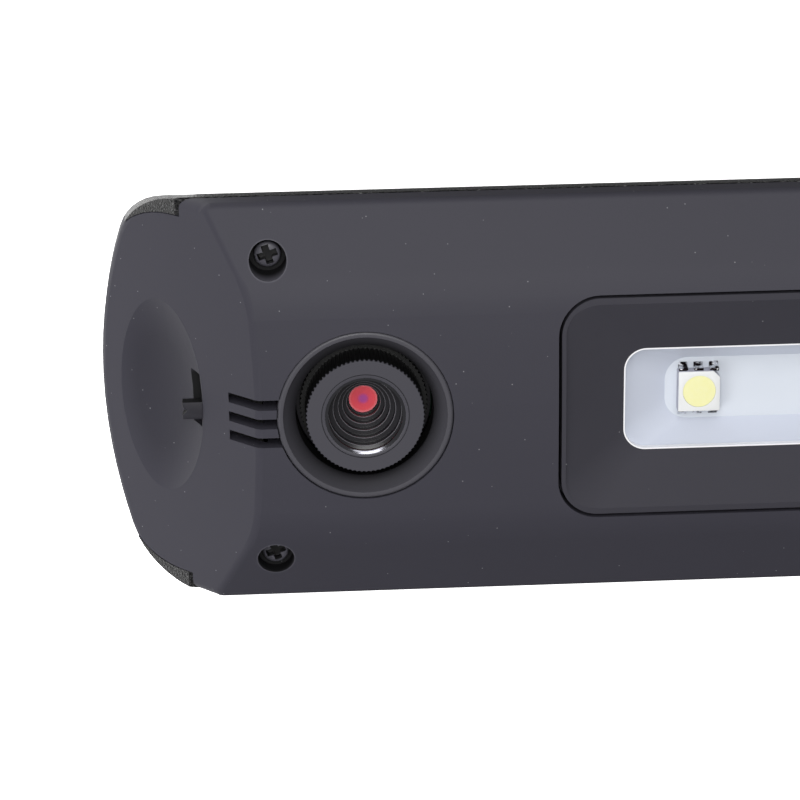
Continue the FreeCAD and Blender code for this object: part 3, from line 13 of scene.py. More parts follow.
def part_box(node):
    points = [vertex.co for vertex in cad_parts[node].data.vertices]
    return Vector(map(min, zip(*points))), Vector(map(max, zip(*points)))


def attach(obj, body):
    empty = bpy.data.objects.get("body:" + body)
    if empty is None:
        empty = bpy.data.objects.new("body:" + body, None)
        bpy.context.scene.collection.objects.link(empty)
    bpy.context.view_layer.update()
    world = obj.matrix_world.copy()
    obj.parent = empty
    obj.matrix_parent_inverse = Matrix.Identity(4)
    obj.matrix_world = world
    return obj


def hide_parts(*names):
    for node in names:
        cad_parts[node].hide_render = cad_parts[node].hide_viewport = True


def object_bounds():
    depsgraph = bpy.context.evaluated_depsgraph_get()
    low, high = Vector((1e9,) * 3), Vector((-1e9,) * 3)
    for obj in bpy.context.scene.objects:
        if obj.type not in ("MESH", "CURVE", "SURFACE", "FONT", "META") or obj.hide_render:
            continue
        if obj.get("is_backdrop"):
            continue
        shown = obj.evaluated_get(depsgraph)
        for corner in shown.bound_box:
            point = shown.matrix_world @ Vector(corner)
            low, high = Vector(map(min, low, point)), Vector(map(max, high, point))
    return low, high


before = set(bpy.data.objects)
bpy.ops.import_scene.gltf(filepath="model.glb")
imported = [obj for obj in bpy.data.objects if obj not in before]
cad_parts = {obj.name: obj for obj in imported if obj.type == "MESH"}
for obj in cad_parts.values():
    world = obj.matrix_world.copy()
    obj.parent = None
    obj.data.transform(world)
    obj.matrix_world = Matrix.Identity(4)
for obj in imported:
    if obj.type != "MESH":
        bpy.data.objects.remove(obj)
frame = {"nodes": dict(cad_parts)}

Tree, Node, Socket = bpy.types.NodeTree, bpy.types.Node, bpy.types.NodeSocket
Feed = Node | Socket
Mesh, Piece = bpy.types.Mesh, bpy.types.Object
Point = tuple[float, float]
Spot = tuple[float, float, float]
Colour = tuple[float, float, float, float]

# Sizes are in millimetres, unless a line says metres; MM turns them into metres.
MM = 0.001
MERGE = 1e-7  # metres between two vertices that are one
SLIVER = 1e-8  # metres along an edge too short to keep
SEAM = 1e-6  # metres between the two sides of a turned part's seam
SHARP_DEG = 32.0  # edges that turn more than this stay sharp
LOG = logging.getLogger("work_light")


class Body(Enum):
    """The bodies that the grown pieces ride on."""

    CASING = "casing"
    FOCUS_RING = "focus_ring"
    LENS_CELL = "lens_cell"
    SWITCH_KNOB = "switch_knob"
    HANG_BAIL = "hang_bail"


# ---------------------------------------------------------------- helpers
def result(source: Feed) -> Socket:
    """The first output in use of a node; an output socket stands for itself."""
    return next(s for s in source.outputs if s.enabled) if isinstance(source, Node) else source


def add_node(tree: Tree, kind: str, inputs: Mapping | None = None, **settings) -> Node:
    """Adds a node with its settings and links.

    Args:
        tree: The tree that takes the node.
        kind: Blender's name of the node type.
        inputs: Socket name or index to a value, or to the node or output socket that feeds it.
        **settings: The node's own properties.

    Returns:
        The new node.
    """
    node = tree.nodes.new(kind)
    for name, value in settings.items():
        setattr(node, name, value)
    for key, value in (inputs or {}).items():
        for feed in value if isinstance(value, list) else [value]:
            if isinstance(feed, (Node, Socket)):
                tree.links.new(result(feed), node.inputs[key])
            else:
                node.inputs[key].default_value = feed
    return node


def linear(code: str) -> Colour:
    """Turns an sRGB hex colour such as 4A494F into linear values with full alpha."""
    parts = [int(code[i:i + 2], 16) / 255 for i in (0, 2, 4)]
    return (*[c / 12.92 if c <= 0.04045 else ((c + 0.055) / 1.055) ** 2.4 for c in parts], 1.0)


def per(size: float) -> float:
    """The texture scale whose features are about that size across."""
    return 1.0 / (size * MM)


def box_mm(node: str) -> tuple[Vector, Vector]:
    """The low and high corner of a CAD node at rest."""
    low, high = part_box(node)
    return low / MM, high / MM


def top_mm(node: str) -> float:
    """The height of a CAD node's top at rest."""
    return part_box(node)[1].z / MM


def finished(name: str, mesh: Mesh) -> Piece:
    """Closes a mesh's seams, turns its faces outwards, smooths it and puts it in the scene.

    Args:
        name: The piece's name.
        mesh: The mesh, whose vertices stand where the piece stands.

    Returns:
        The piece's object, at the origin.
    """
    work = bmesh.new()
    work.from_mesh(mesh)
    bmesh.ops.remove_doubles(work, verts=work.verts, dist=MERGE)
    bmesh.ops.dissolve_degenerate(work, edges=work.edges, dist=SLIVER)
    bmesh.ops.recalc_face_normals(work, faces=work.faces)
    work.to_mesh(mesh)
    work.free()
    mesh.shade_smooth()
    mesh.set_sharp_from_angle(angle=math.radians(SHARP_DEG))
    mesh.name = name
    piece = bpy.data.objects.new(name, mesh)
    bpy.context.scene.collection.objects.link(piece)
    return piece


def place(piece: Piece, body: Body, nodes: Sequence[str] = (), slot: str = "") -> Piece:
    """Makes a piece ride on a body and stand for CAD nodes.

    Args:
        piece: The finished piece.
        body: The body it moves with.
        nodes: The CAD nodes that it stands for.
        slot: The record's material slot; not used.

    Returns:
        The same piece.
    """
    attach(piece, body.value)
    if nodes:
        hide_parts(*nodes)
    LOG.info("%s rides on %s with %d faces", piece.name, body.value, len(piece.data.polygons))
    return piece


def points_mesh(points: Sequence[Sequence[float]], edges: Sequence[tuple[int, int]] = ()) -> Mesh:
    """Makes a bare mesh of points.

    Args:
        points: The points' axes.
        edges: The pairs of points that an edge joins.

    Returns:
        The mesh.
    """
    mesh = bpy.data.meshes.new("seed")
    mesh.from_pydata([[v * MM for v in p] for p in points], list(edges), [])
    return mesh


def section_mesh(section: Sequence[Point]) -> Mesh:
    """The radii and heights of a turned part's section as a bare mesh."""
    return points_mesh([(radius, 0.0, height) for radius, height in section])


def plain_mesh(work: bmesh.types.BMesh, name: str) -> Mesh:
    """Turns a work mesh into a plain one and frees it.

    Args:
        work: The work mesh.
        name: The plain mesh's name.

    Returns:
        The plain mesh.
    """
    mesh = bpy.data.meshes.new(name)
    work.to_mesh(mesh)
    work.free()
    return mesh


def prisms(name: str, outlines: Sequence[Sequence[Spot]], along: Spot, bevel: float) -> Mesh:
    """Flat outlines drawn out into solids.

    Args:
        name: The mesh's name.
        outlines: The corners of each outline.
        along: How far and which way each one is drawn out.
        bevel: How far the edges are cut back.

    Returns:
        One mesh with a prism for each outline.
    """
    work = bmesh.new()
    for outline in outlines:
        face = work.faces.new([work.verts.new(Vector(corner) * MM) for corner in outline])
        risen = bmesh.ops.extrude_face_region(work, geom=[face])
        far = [v for v in risen["geom"] if isinstance(v, bmesh.types.BMVert)]
        bmesh.ops.translate(work, verts=far, vec=Vector(along) * MM)
    bmesh.ops.recalc_face_normals(work, faces=work.faces)
    bmesh.ops.bevel(work, geom=list(work.edges), offset=bevel * MM, segments=2, profile=0.5,
                    affect="EDGES", clamp_overlap=True)
    return plain_mesh(work, name)


def joined(meshes: Sequence[Mesh]) -> Mesh:
    """Puts several meshes together.

    Args:
        meshes: The meshes, each closed by itself.

    Returns:
        One mesh that holds them all.
    """
    work = bmesh.new()
    for mesh in meshes:
        work.from_mesh(mesh)
    return plain_mesh(work, "joined")


def eased(profile: Sequence[Point], radius: float, steps: int = 3) -> list[Point]:
    """Rounds the corners of a closed outline.

    Args:
        profile: Radius and height of each corner.
        radius: How far each corner is cut back.
        steps: How many short runs replace a corner.

    Returns:
        The outline with its corners rounded.
    """
    most = 0.45  # of a run's length, so that two corners never meet
    out: list[Point] = []
    for index, here in enumerate(profile):
        corner = Vector(here)
        before = Vector(profile[index - 1]) - corner
        after = Vector(profile[(index + 1) % len(profile)]) - corner
        cut = min(radius, before.length * most, after.length * most)
        start = corner + before.normalized() * cut
        end = corner + after.normalized() * cut
        for step in range(steps + 1):
            t = step / steps
            spot = start * (1 - t) ** 2 + corner * 2 * t * (1 - t) + end * t ** 2
            out.append((spot.x, spot.y))
    return out


# ---------------------------------------------------------------- finishes
@dataclass(frozen=True)
class Canvas:
    """What a finish is drawn on: a material's tree, its shader and the object coordinates."""

    tree: Tree
    shader: Node
    where: Socket

    def add(self, kind: str, inputs: Mapping, **settings) -> Node:
        """Adds a node to the material."""
        return add_node(self.tree, kind, inputs, **settings)

    def feed(self, socket: str, source: Feed) -> None:
        """Feeds one of the shader's sockets."""
        self.tree.links.new(result(source), self.shader.inputs[socket])


@dataclass(frozen=True)
class Finish:
    """A surface: what it is made of and how it was made.

    The colour drifts between two shades over mottle_mm, in soft clouds or, where
    patchy nears 0.5, in clear patches. A grain of grain_mm stands relief_mm proud.
    """

    name: str
    colour: str
    shade: str
    roughness: float
    ior: float = 1.5
    metallic: float = 0.0
    mottle_mm: float = 20.0
    grain_mm: float = 0.4
    relief_mm: float = 0.01
    patchy: float = 0.0
    gloss: float = 0.5
    coat: float = 0.0
    transmission: float = 0.0

    def material(self) -> bpy.types.Material:
        """Builds the finish's node material on first use.

        Returns:
            The material.
        """
        made = bpy.data.materials.get(self.name)
        if made is None:
            made = bpy.data.materials.new(self.name)
            made.use_nodes = True
            made.diffuse_color = linear(self.colour)
            tree = made.node_tree
            tree.nodes.clear()
            plastic = {"IOR": self.ior, "Specular IOR Level": self.gloss}
            shader = add_node(tree, "ShaderNodeBsdfPrincipled", {
                "Roughness": self.roughness, "Coat Weight": self.coat,
                "Transmission Weight": self.transmission,
                **({"Metallic": self.metallic} if self.metallic else plastic)})
            add_node(tree, "ShaderNodeOutputMaterial", {"Surface": shader})
            where = add_node(tree, "ShaderNodeTexCoord").outputs["Object"]
            self.dress(Canvas(tree, shader, where))
            LOG.info("finish %s", self.name)
        return made

    def dress(self, canvas: Canvas) -> None:
        """Feeds colour and relief into the shader."""
        canvas.feed("Base Color", self.drift(canvas))
        self.emboss(canvas, self.grain(canvas))

    def drift(self, canvas: Canvas) -> Feed:
        """Lets the base colour drift softly between the two shades.

        Args:
            canvas: What it is drawn on.

        Returns:
            The colour.
        """
        cloud = canvas.add("ShaderNodeTexNoise", {
            "Vector": canvas.where, "Scale": per(self.mottle_mm), "Detail": 4.0})
        share = canvas.add("ShaderNodeMapRange", {
            "Value": cloud, "From Min": self.patchy, "From Max": 1.0 - self.patchy})
        return canvas.add("ShaderNodeMix", {
            0: share, 6: linear(self.colour), 7: linear(self.shade)}, data_type="RGBA")

    def grain(self, canvas: Canvas) -> Feed:
        """The height of the fine grain, from 0 to 1."""
        return canvas.add("ShaderNodeTexNoise", {
            "Vector": canvas.where, "Scale": per(self.grain_mm), "Detail": 3.0, "Roughness": 0.6})

    def emboss(self, canvas: Canvas, height: Feed) -> None:
        """Turns a height from 0 to 1 into the shader's relief, relief_mm from lowest to highest."""
        canvas.feed("Normal", canvas.add("ShaderNodeBump", {
            "Height": height, "Strength": 1.0, "Distance": self.relief_mm * MM}))


@dataclass(frozen=True)
class SparkedPlastic(Finish):
    """ABS from a spark-eroded mould: an even fine grain and a few specks of dust."""

    dust: str = "B8B8BC"
    dust_gap_mm: float = 1.7
    dust_mm: float = 0.17
    dust_core: float = 0.4  # the share of a speck that is fully pale
    dust_share: float = 0.55

    def dress(self, canvas: Canvas) -> None:
        """Adds the dust specks over the drifting colour.

        Args:
            canvas: What they are drawn on.
        """
        cells = canvas.add("ShaderNodeTexVoronoi", {
            "Vector": canvas.where, "Scale": per(self.dust_gap_mm)})
        reach = self.dust_mm / 2 / self.dust_gap_mm
        speck = canvas.add("ShaderNodeMapRange", {
            "Value": cells, "From Min": reach, "From Max": reach * self.dust_core,
            "To Max": self.dust_share})
        canvas.feed("Base Color", canvas.add("ShaderNodeMix", {
            0: speck, 6: self.drift(canvas), 7: linear(self.dust)}, data_type="RGBA"))
        self.emboss(canvas, self.grain(canvas))


@dataclass(frozen=True)
class Recess:
    """A hollow whose inside is painted darker, as painted shade, in metres; power 2 is an ellipse,
    12 nearly a box.
    """

    centre: Spot
    half: Spot
    shade: str
    power: float = 12.0
    edge: float = 0.06

    def share(self, canvas: Canvas) -> Node:
        """Works out how far a point is inside the hollow.

        Args:
            canvas: What it is worked out on.

        Returns:
            The share, from 0 at the hollow's edge to 1.
        """
        moved = canvas.add("ShaderNodeVectorMath", {0: canvas.where, 1: self.centre},
                           operation="SUBTRACT")
        scaled = canvas.add("ShaderNodeVectorMath", {0: moved, 1: self.half}, operation="DIVIDE")
        size = canvas.add("ShaderNodeVectorMath", {0: scaled}, operation="ABSOLUTE")
        axes = canvas.add("ShaderNodeSeparateXYZ", {0: size}).outputs
        total = 0.0
        for name in ("X", "Y", "Z"):
            raised = canvas.add("ShaderNodeMath", {0: axes[name], 1: self.power},
                                operation="POWER")
            total = canvas.add("ShaderNodeMath", {0: total, 1: raised}, operation="ADD")
        reach = canvas.add("ShaderNodeMath", {0: total, 1: 1.0 / self.power}, operation="POWER")
        return canvas.add("ShaderNodeMapRange", {
            "Value": reach, "From Min": 1.0, "From Max": 1.0 - self.edge})


@dataclass(frozen=True)
class ShadeAndHighlightPlastic(SparkedPlastic):
    """The same matte ABS with painted shade in its hollows and screw holes, and a painted highlight
    on each screw hole's rim.
    """

    recesses: tuple[Recess, ...] = ()
    screw_at: Point = (0.0, 0.0)  # metres
    rim_z: float = 0.0  # metres
    hole_mm: float = 2.2
    hole_edge_mm: float = 0.01  # past the hole, so that its wall is dark too
    hole_dark_mm: float = 2.3  # the depth at which it is fully dark
    hole_shade: str = "0E0E10"
    rim_mm: float = 0.16  # how wide the painted highlight on the hole's rim is
    rim_highlight: str = "5C5B63"
    rim_share: float = 0.75

    def drift(self, canvas: Canvas) -> Feed:
        """Lays painted shade in the hollows and screw holes and a painted highlight on each hole's
        rim over the cover's colour.

        Args:
            canvas: What it is drawn on.

        Returns:
            The colour.
        """
        hole = self.hole_mm * MM
        folded = canvas.add("ShaderNodeVectorMath", {0: canvas.where}, operation="ABSOLUTE")
        flat = canvas.add("ShaderNodeVectorMath", {0: folded, 1: (1.0, 1.0, 0.0)},
                          operation="MULTIPLY")
        gap = canvas.add("ShaderNodeVectorMath", {0: flat, 1: (*self.screw_at, 0.0)},
                         operation="DISTANCE")
        rim = canvas.add("ShaderNodeMapRange", {
            "Value": gap, "From Min": hole + self.rim_mm * MM, "From Max": hole,
            "To Max": self.rim_share})
        inside = canvas.add("ShaderNodeMath", {0: gap, 1: hole + self.hole_edge_mm * MM},
                            operation="LESS_THAN")
        height = canvas.add("ShaderNodeSeparateXYZ", {0: canvas.where}).outputs["Z"]
        deep = canvas.add("ShaderNodeMapRange", {
            "Value": height, "From Min": self.rim_z,
            "From Max": self.rim_z - self.hole_dark_mm * MM})
        dark = canvas.add("ShaderNodeMath", {0: inside, 1: deep}, operation="MULTIPLY")
        paint = super().drift(canvas)
        # The hollows and screw holes get painted shade, the holes' rims a painted highlight.
        for share, code in ([(recess.share(canvas), recess.shade) for recess in self.recesses]
                            + [(rim, self.rim_highlight), (dark, self.hole_shade)]):
            paint = canvas.add("ShaderNodeMix", {0: share, 6: paint, 7: linear(code)},
                               data_type="RGBA")
        return paint


@dataclass(frozen=True)
class LeatherPlastic(Finish):
    """Glossy ABS from a chemically etched mould: raised pebbles, like leather."""

    pebble_mm: float = 0.36
    crease: float = 0.3  # a pebble rises over twice this share of its size
    bend: float = 0.9  # how far noise pushes the pebbles about, as a share of their size
    bend_size: float = 1.6  # how many pebbles the noise's features span
    fine: float = 0.25  # the grain's height beside a pebble's
    duller: float = 0.25  # added to the roughness in a crease
    # The creases' colour, a painted shade.
    sunk: str = "020203"

    def dress(self, canvas: Canvas) -> None:
        """Lays the pebbles out; the creases between them are painted darker, as painted shade, and
        are duller.

        Args:
            canvas: What they are drawn on.
        """
        waver = canvas.add("ShaderNodeTexNoise", {
            "Vector": canvas.where, "Scale": per(self.pebble_mm * self.bend_size), "Detail": 2.0})
        swing = canvas.add("ShaderNodeVectorMath", {
            0: waver.outputs["Color"], 1: (0.5, 0.5, 0.5)}, operation="SUBTRACT")
        small = canvas.add("ShaderNodeVectorMath", {
            0: swing, "Scale": self.pebble_mm * MM * self.bend}, operation="SCALE")
        bent = canvas.add("ShaderNodeVectorMath", {0: canvas.where, 1: small}, operation="ADD")
        cells = canvas.add("ShaderNodeTexVoronoi", {
            "Vector": bent, "Scale": per(self.pebble_mm)}, feature="DISTANCE_TO_EDGE")
        pebble = canvas.add("ShaderNodeMapRange", {
            "Value": cells, "From Max": self.crease * 2}, interpolation_type="SMOOTHSTEP")
        canvas.feed("Roughness", canvas.add("ShaderNodeMapRange", {
            "Value": pebble, "To Min": min(self.roughness + self.duller, 1.0),
            "To Max": self.roughness}))
        # The creases are painted darker, as painted shade.
        canvas.feed("Base Color", canvas.add("ShaderNodeMix", {
            0: pebble, 6: linear(self.sunk), 7: self.drift(canvas)}, data_type="RGBA"))
        self.emboss(canvas, canvas.add("ShaderNodeMath", {
            0: self.grain(canvas), 1: self.fine, 2: pebble}, operation="MULTIPLY_ADD"))


@dataclass(frozen=True)
class TurnedMetal(Finish):
    """A turned part: fine rings about an upright axis under its finish."""

    axis_x: float = 0.0  # metres
    ring_mm: float = 0.12

    def radius(self, canvas: Canvas) -> Node:
        """Works out how far a point is from the axis.

        Args:
            canvas: What it is worked out on.

        Returns:
            The distance, in metres.
        """
        centred = canvas.add("ShaderNodeMapping", {
            "Vector": canvas.where, "Location": (-self.axis_x, 0.0, 0.0)})
        flat = canvas.add("ShaderNodeVectorMath", {0: centred, 1: (1.0, 1.0, 0.0)},
                          operation="MULTIPLY")
        return canvas.add("ShaderNodeVectorMath", {0: flat}, operation="LENGTH")

    def grain(self, canvas: Canvas) -> Feed:
        """Rings about the axis, as uneven as noise."""
        spread = canvas.add("ShaderNodeCombineXYZ", {"X": self.radius(canvas)})
        return canvas.add("ShaderNodeTexNoise", {
            "Vector": spread, "Scale": per(self.ring_mm), "Detail": 1.0})


@dataclass(frozen=True)
class SteppedBlack(TurnedMetal):
    """A turned part with a painted highlight along each edge; each edge is a radius and a height."""

    edges_mm: tuple[Point, ...] = ()
    # The painted highlight along each edge: its colour, width and strength.
    edge_highlight: str = "77767C"
    edge_highlight_mm: float = 0.09
    edge_highlight_share: float = 0.85

    def drift(self, canvas: Canvas) -> Feed:
        """Lays a painted highlight, a lighter line, along each edge over the drifting colour.

        Args:
            canvas: What it is drawn on.

        Returns:
            The colour.
        """
        height = canvas.add("ShaderNodeSeparateXYZ", {0: canvas.where}).outputs["Z"]
        spot = canvas.add("ShaderNodeCombineXYZ", {"X": self.radius(canvas), "Z": height})
        paint = super().drift(canvas)
        for radius, level in self.edges_mm:
            gap = canvas.add("ShaderNodeVectorMath", {0: spot, 1: (radius * MM, 0.0, level * MM)},
                             operation="DISTANCE")
            near = canvas.add("ShaderNodeMapRange", {
                "Value": gap, "From Min": self.edge_highlight_mm * MM, "From Max": self.edge_highlight_mm * MM / 3,
                "To Max": self.edge_highlight_share})
            paint = canvas.add("ShaderNodeMix", {0: near, 6: paint, 7: linear(self.edge_highlight)},
                               data_type="RGBA")
        return paint


@dataclass(frozen=True)
class PaintedLightByHeight(TurnedMetal):
    """A part painted lighter on its top faces and darker below them: painted light and shade by
    height.
    """

    level_mm: float = 0.0
    fade_mm: float = 0.12
    rings: bool = True

    def drift(self, canvas: Canvas) -> Feed:
        """Sets the lighter shade above level_mm and the darker one below it, as painted light and
        shade.

        Args:
            canvas: What it is drawn on.

        Returns:
            The colour.
        """
        height = canvas.add("ShaderNodeSeparateXYZ", {0: canvas.where}).outputs["Z"]
        high = canvas.add("ShaderNodeMapRange", {
            "Value": height, "From Min": (self.level_mm - self.fade_mm) * MM,
            "From Max": self.level_mm * MM})
        return canvas.add("ShaderNodeMix", {
            0: high, 6: linear(self.shade), 7: linear(self.colour)}, data_type="RGBA")

    def grain(self, canvas: Canvas) -> Feed:
        """Lathe rings, or plain noise where the part was forged or moulded."""
        return TurnedMetal.grain(self, canvas) if self.rings else Finish.grain(self, canvas)


@dataclass(frozen=True)
class CoatedGlass(TurnedMetal):
    """Glass with a vacuum-deposited coat, whose colour changes from its middle to its edge."""

    middle: str = "B04262"
    edge: str = "5A1018"
    middle_mm: float = 0.55
    edge_mm: float = 1.95
    colour_at: float = 0.42  # these two are shares of edge_mm
    shade_at: float = 0.8

    def drift(self, canvas: Canvas) -> Feed:
        """Colours the coat by distance from the axis.

        Args:
            canvas: What it is drawn on.

        Returns:
            The colour.
        """
        share = canvas.add("ShaderNodeMath", {0: self.radius(canvas), 1: self.edge_mm * MM},
                           operation="DIVIDE")
        ramp = canvas.add("ShaderNodeValToRGB", {"Fac": share})
        stops = ramp.color_ramp.elements
        stops[0].position, stops[0].color = 0.0, linear(self.middle)
        stops[1].position, stops[1].color = 1.0, linear(self.edge)
        for at, code in ((self.middle_mm / self.edge_mm, self.middle),
                         (self.colour_at, self.colour), (self.shade_at, self.shade)):
            stops.new(at).color = linear(code)
        return ramp


@dataclass(frozen=True)
class BrushedMetal(Finish):
    """Drawn or brushed metal: scratches that run along one direction."""

    stretch: Spot = (0.06, 1.0, 1.0)

    def grain(self, canvas: Canvas) -> Feed:
        """Noise drawn out along the brushing."""
        drawn = canvas.add("ShaderNodeMapping", {"Vector": canvas.where, "Scale": self.stretch})
        return canvas.add("ShaderNodeTexNoise", {
            "Vector": drawn, "Scale": per(self.grain_mm), "Detail": 2.0})


@dataclass(frozen=True)
class OpenFoam(Finish):
    """Open cell foam: a mesh of thin walls around dark cells."""

    def grain(self, canvas: Canvas) -> Feed:
        """The cells, each a pit with a raised wall."""
        return canvas.add("ShaderNodeTexVoronoi", {
            "Vector": canvas.where, "Scale": per(self.grain_mm)})


RING_LOW, RING_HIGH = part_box("focus_ring")
LENS_X = ((RING_LOW + RING_HIGH) / 2).x  # metres
RING_SUNK = 0.25  # from the ring's top up to the face round the lens
FACE_Z = RING_HIGH.z + RING_SUNK * MM  # metres
SCREW_RADIUS = 1.65
RING_BORE = 5.95  # the barrel slides in it
SCREW_AT = tuple((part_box("case_screws")[1] - Vector((SCREW_RADIUS, SCREW_RADIUS, 0.0)) * MM)[:2])

# The finger dish, painted a soft shade darker than the face as painted shade.
DISH = Recess((LENS_X - 0.02398, -0.00045, 0.0), (0.0054, 0.0124, 1.0), "313038", 2.0, 0.45)
# The slot that the knob slides in: painted nearly black as painted shadow.
KNOB_SLOT = Recess((LENS_X - 0.0187, 0.0002, 0.01375), (0.0037, 0.0034, 0.0014), "0A0A0C")

# ABS moulded in a spark-eroded mould: a flat, faintly purple charcoal that takes light softly
# and shows dust, with painted shade in the finger dish, the knob's slot and the screw holes,
# and a painted highlight round each screw hole's rim.
COVER = ShadeAndHighlightPlastic(
    "moulded_abs_spark_matte", "3B3A43", "37363E", 0.62, mottle_mm=30, grain_mm=0.22,
    relief_mm=0.012, gloss=0.32, screw_at=SCREW_AT, rim_z=FACE_Z - 2.1 * MM,
    recesses=(DISH, KNOB_SLOT))
# ABS from a chemically etched mould: black pebbles that each catch a glint, with painted shade in
# the creases between them.
REAR = LeatherPlastic(
    "moulded_abs_leather_gloss", "27262A", "1F1E22", 0.12, 1.6, mottle_mm=25, grain_mm=0.1,
    relief_mm=0.15)
# ABS moulded a little finer than the cover: an even, neutral charcoal that sets the bright
# window off.
BEZEL = SparkedPlastic(
    "moulded_abs_satin", "3C3B42", "37363D", 0.75, mottle_mm=18, grain_mm=0.18,
    relief_mm=0.006, gloss=0.25, dust_gap_mm=2.6)
# Polycarbonate moulded with white pigment: a cool, soft white that spreads the light along the
# channel.
TRAY = Finish(
    "moulded_white_pc", "D1D6E3", "CBD1DE", 0.35, 1.55, mottle_mm=9, grain_mm=0.5,
    relief_mm=0.003)
# White PPA moulded round the lead frame: a clean bright face over side walls painted greyer as
# painted shade.
LED_BODY = PaintedLightByHeight(
    "moulded_white_ppa", "E5E6E6", "A3A3B0", 0.45, grain_mm=0.1, relief_mm=0.003,
    level_mm=top_mm("led_packages") - 0.02, rings=False)
# The tray's upstanding edge, painted whiter than the tray as a painted highlight: one thin bright
# line round the window.
LIP = Finish(
    "moulded_white_pc_edge", "FAFAFC", "F4F4F8", 0.4, 1.55, mottle_mm=9, grain_mm=0.5,
    relief_mm=0.002)
# Silicone cast full of phosphor: the pale lemon disc that marks an unlit white LED.
PHOSPHOR = Finish(
    "cast_silicone_phosphor", "F1EFBF", "EFECA8", 0.3, 1.42, mottle_mm=0.6, grain_mm=0.08,
    relief_mm=0.006)
# Copper stamped, tin plated and soldered: silver broken by near-black patches, partly flux and
# partly painted shade, so the leads read as tiny sparks.
TIN = Finish(
    "tin_plated_copper", "E8E8EA", "150F12", 0.22, metallic=1.0, mottle_mm=0.7, grain_mm=0.2,
    relief_mm=0.05, patchy=0.44)
# Steel blackened in hot oxide: a grey crown over a cross and shank painted nearly black as painted
# shade.
BLACK_SCREW = PaintedLightByHeight(
    "black_oxide_steel", "57565E", "0A0A0B", 0.42, grain_mm=0.12,
    level_mm=top_mm("case_screws") - 0.2, fade_mm=0.3, rings=False)
# Steel plated with bright zinc: small cold sparkles on the boards.
ZINC_SCREW = Finish(
    "zinc_plated_steel", "B9BBBE", "A3A5A9", 0.3, metallic=1.0, mottle_mm=1, grain_mm=0.1,
    relief_mm=0.004)
# Aluminium turned, knurled and anodised black: a charcoal face over teeth and sides painted black as
# painted shade.
RING = PaintedLightByHeight(
    "black_anodised_aluminium", "414047", "040405", 0.48, relief_mm=0.012, axis_x=LENS_X,
    level_mm=top_mm("focus_ring") - 0.06, fade_mm=0.3)
# The ring's inner chamfer cut after anodising: a crescent of white where it faces the lamp.
BARE_EDGE = TurnedMetal(
    "bare_aluminium_edge", "6E6E74", "646469", 0.14, metallic=1.0, mottle_mm=2,
    relief_mm=0.002, axis_x=LENS_X)
# ABS bowl moulded separately: charcoal at its rim, sinking into shadow round the ring.
SURROUND = PaintedLightByHeight(
    "moulded_abs_bowl", "48474D", "0B0B0C", 0.42, relief_mm=0.002, gloss=0.4, axis_x=LENS_X,
    ring_mm=0.4, level_mm=FACE_Z / MM - 0.5, fade_mm=2.3)
# Acetal turned in steps against stray light: black, with one thin painted highlight line on each
# step.
BAFFLE = SteppedBlack(
    "black_turned_acetal", "201F23", "1B1A1E", 0.3, mottle_mm=4, relief_mm=0.003,
    axis_x=LENS_X)
# Glass ground and vacuum coated: the object's one strong colour, red with a magenta heart.
RED_GLASS = CoatedGlass(
    "coated_front_glass", "F6586C", "FF5E68", 0.3, relief_mm=0.0005, gloss=0.3,
    middle="C456A6", edge="FF8C94", middle_mm=0.35, edge_mm=1.75, axis_x=LENS_X)
# The same kind of glass with a darker coat: deep wine red when the lens is taken apart.
REAR_GLASS = CoatedGlass(
    "coated_rear_glass", "7A2440", "401020", 0.08, 1.6, relief_mm=0.0005, coat=1.0,
    axis_x=LENS_X)
# Blue glass cut thin: a pale cyan pane in front of the sensor.
FILTER_GLASS = Finish(
    "blue_filter_glass", "9FC6CC", "93BCC4", 0.05, 1.52, mottle_mm=5, relief_mm=0.0005,
    transmission=0.6)
# Epoxy moulded over the chip: dull near-black blocks on the boards.
CHIP = Finish(
    "moulded_epoxy_chip", "232226", "1E1D21", 0.45, mottle_mm=2, grain_mm=0.15,
    relief_mm=0.006)
# Glass and epoxy board under green solder mask: a deep satin green.
GREEN_BOARD = Finish(
    "green_solder_mask", "1F5238", "194530", 0.35, mottle_mm=4, grain_mm=0.7)
# Aluminium board under white solder mask: the bright floor that the LEDs stand on.
WHITE_BOARD = Finish(
    "white_solder_mask", "D8DDE5", "D0D6DF", 0.4, mottle_mm=6, grain_mm=0.6, relief_mm=0.006)
# Foam cut from open-cell sheet: a matte black full of small holes behind the vents.
FOAM = OpenFoam(
    "open_cell_foam", "1A1A1B", "131314", 0.95, 1.4, mottle_mm=1, grain_mm=0.35,
    relief_mm=0.25)
# Nylon moulded black: a dark grey thumb face over sides painted black as painted shade, so the
# knob reads as a small tab.
KNOB = PaintedLightByHeight(
    "black_nylon", "27262C", "050506", 0.55, 1.53, grain_mm=0.12, relief_mm=0.008, gloss=0.3,
    level_mm=top_mm("switch_knob") - 0.04, rings=False)
# Nylon moulded with glass fibre: a dry, slightly rough black.
HOUSING = Finish(
    "glass_filled_nylon", "1E1D20", "19181B", 0.6, 1.53, mottle_mm=2, grain_mm=0.12,
    relief_mm=0.008)
# Silicone moulded soft: a chalky grey-black that is duller than the cover round it.
RUBBER = Finish(
    "silicone_rubber", "363539", "323135", 0.75, 1.42, mottle_mm=5, grain_mm=0.2,
    relief_mm=0.015)
# Rubber moulded as one lip: a soft black with no shine.
SEAL = Finish(
    "soft_seal_rubber", "242325", "1F1E20", 0.8, mottle_mm=2, grain_mm=0.15, relief_mm=0.02)
# Acrylic moulded and frosted: a small pale dot on the dark cover.
ACRYLIC = Finish(
    "frosted_acrylic", "D6DDE2", "CBD3D9", 0.25, 1.49, mottle_mm=1, grain_mm=0.1,
    relief_mm=0.004, transmission=0.5)
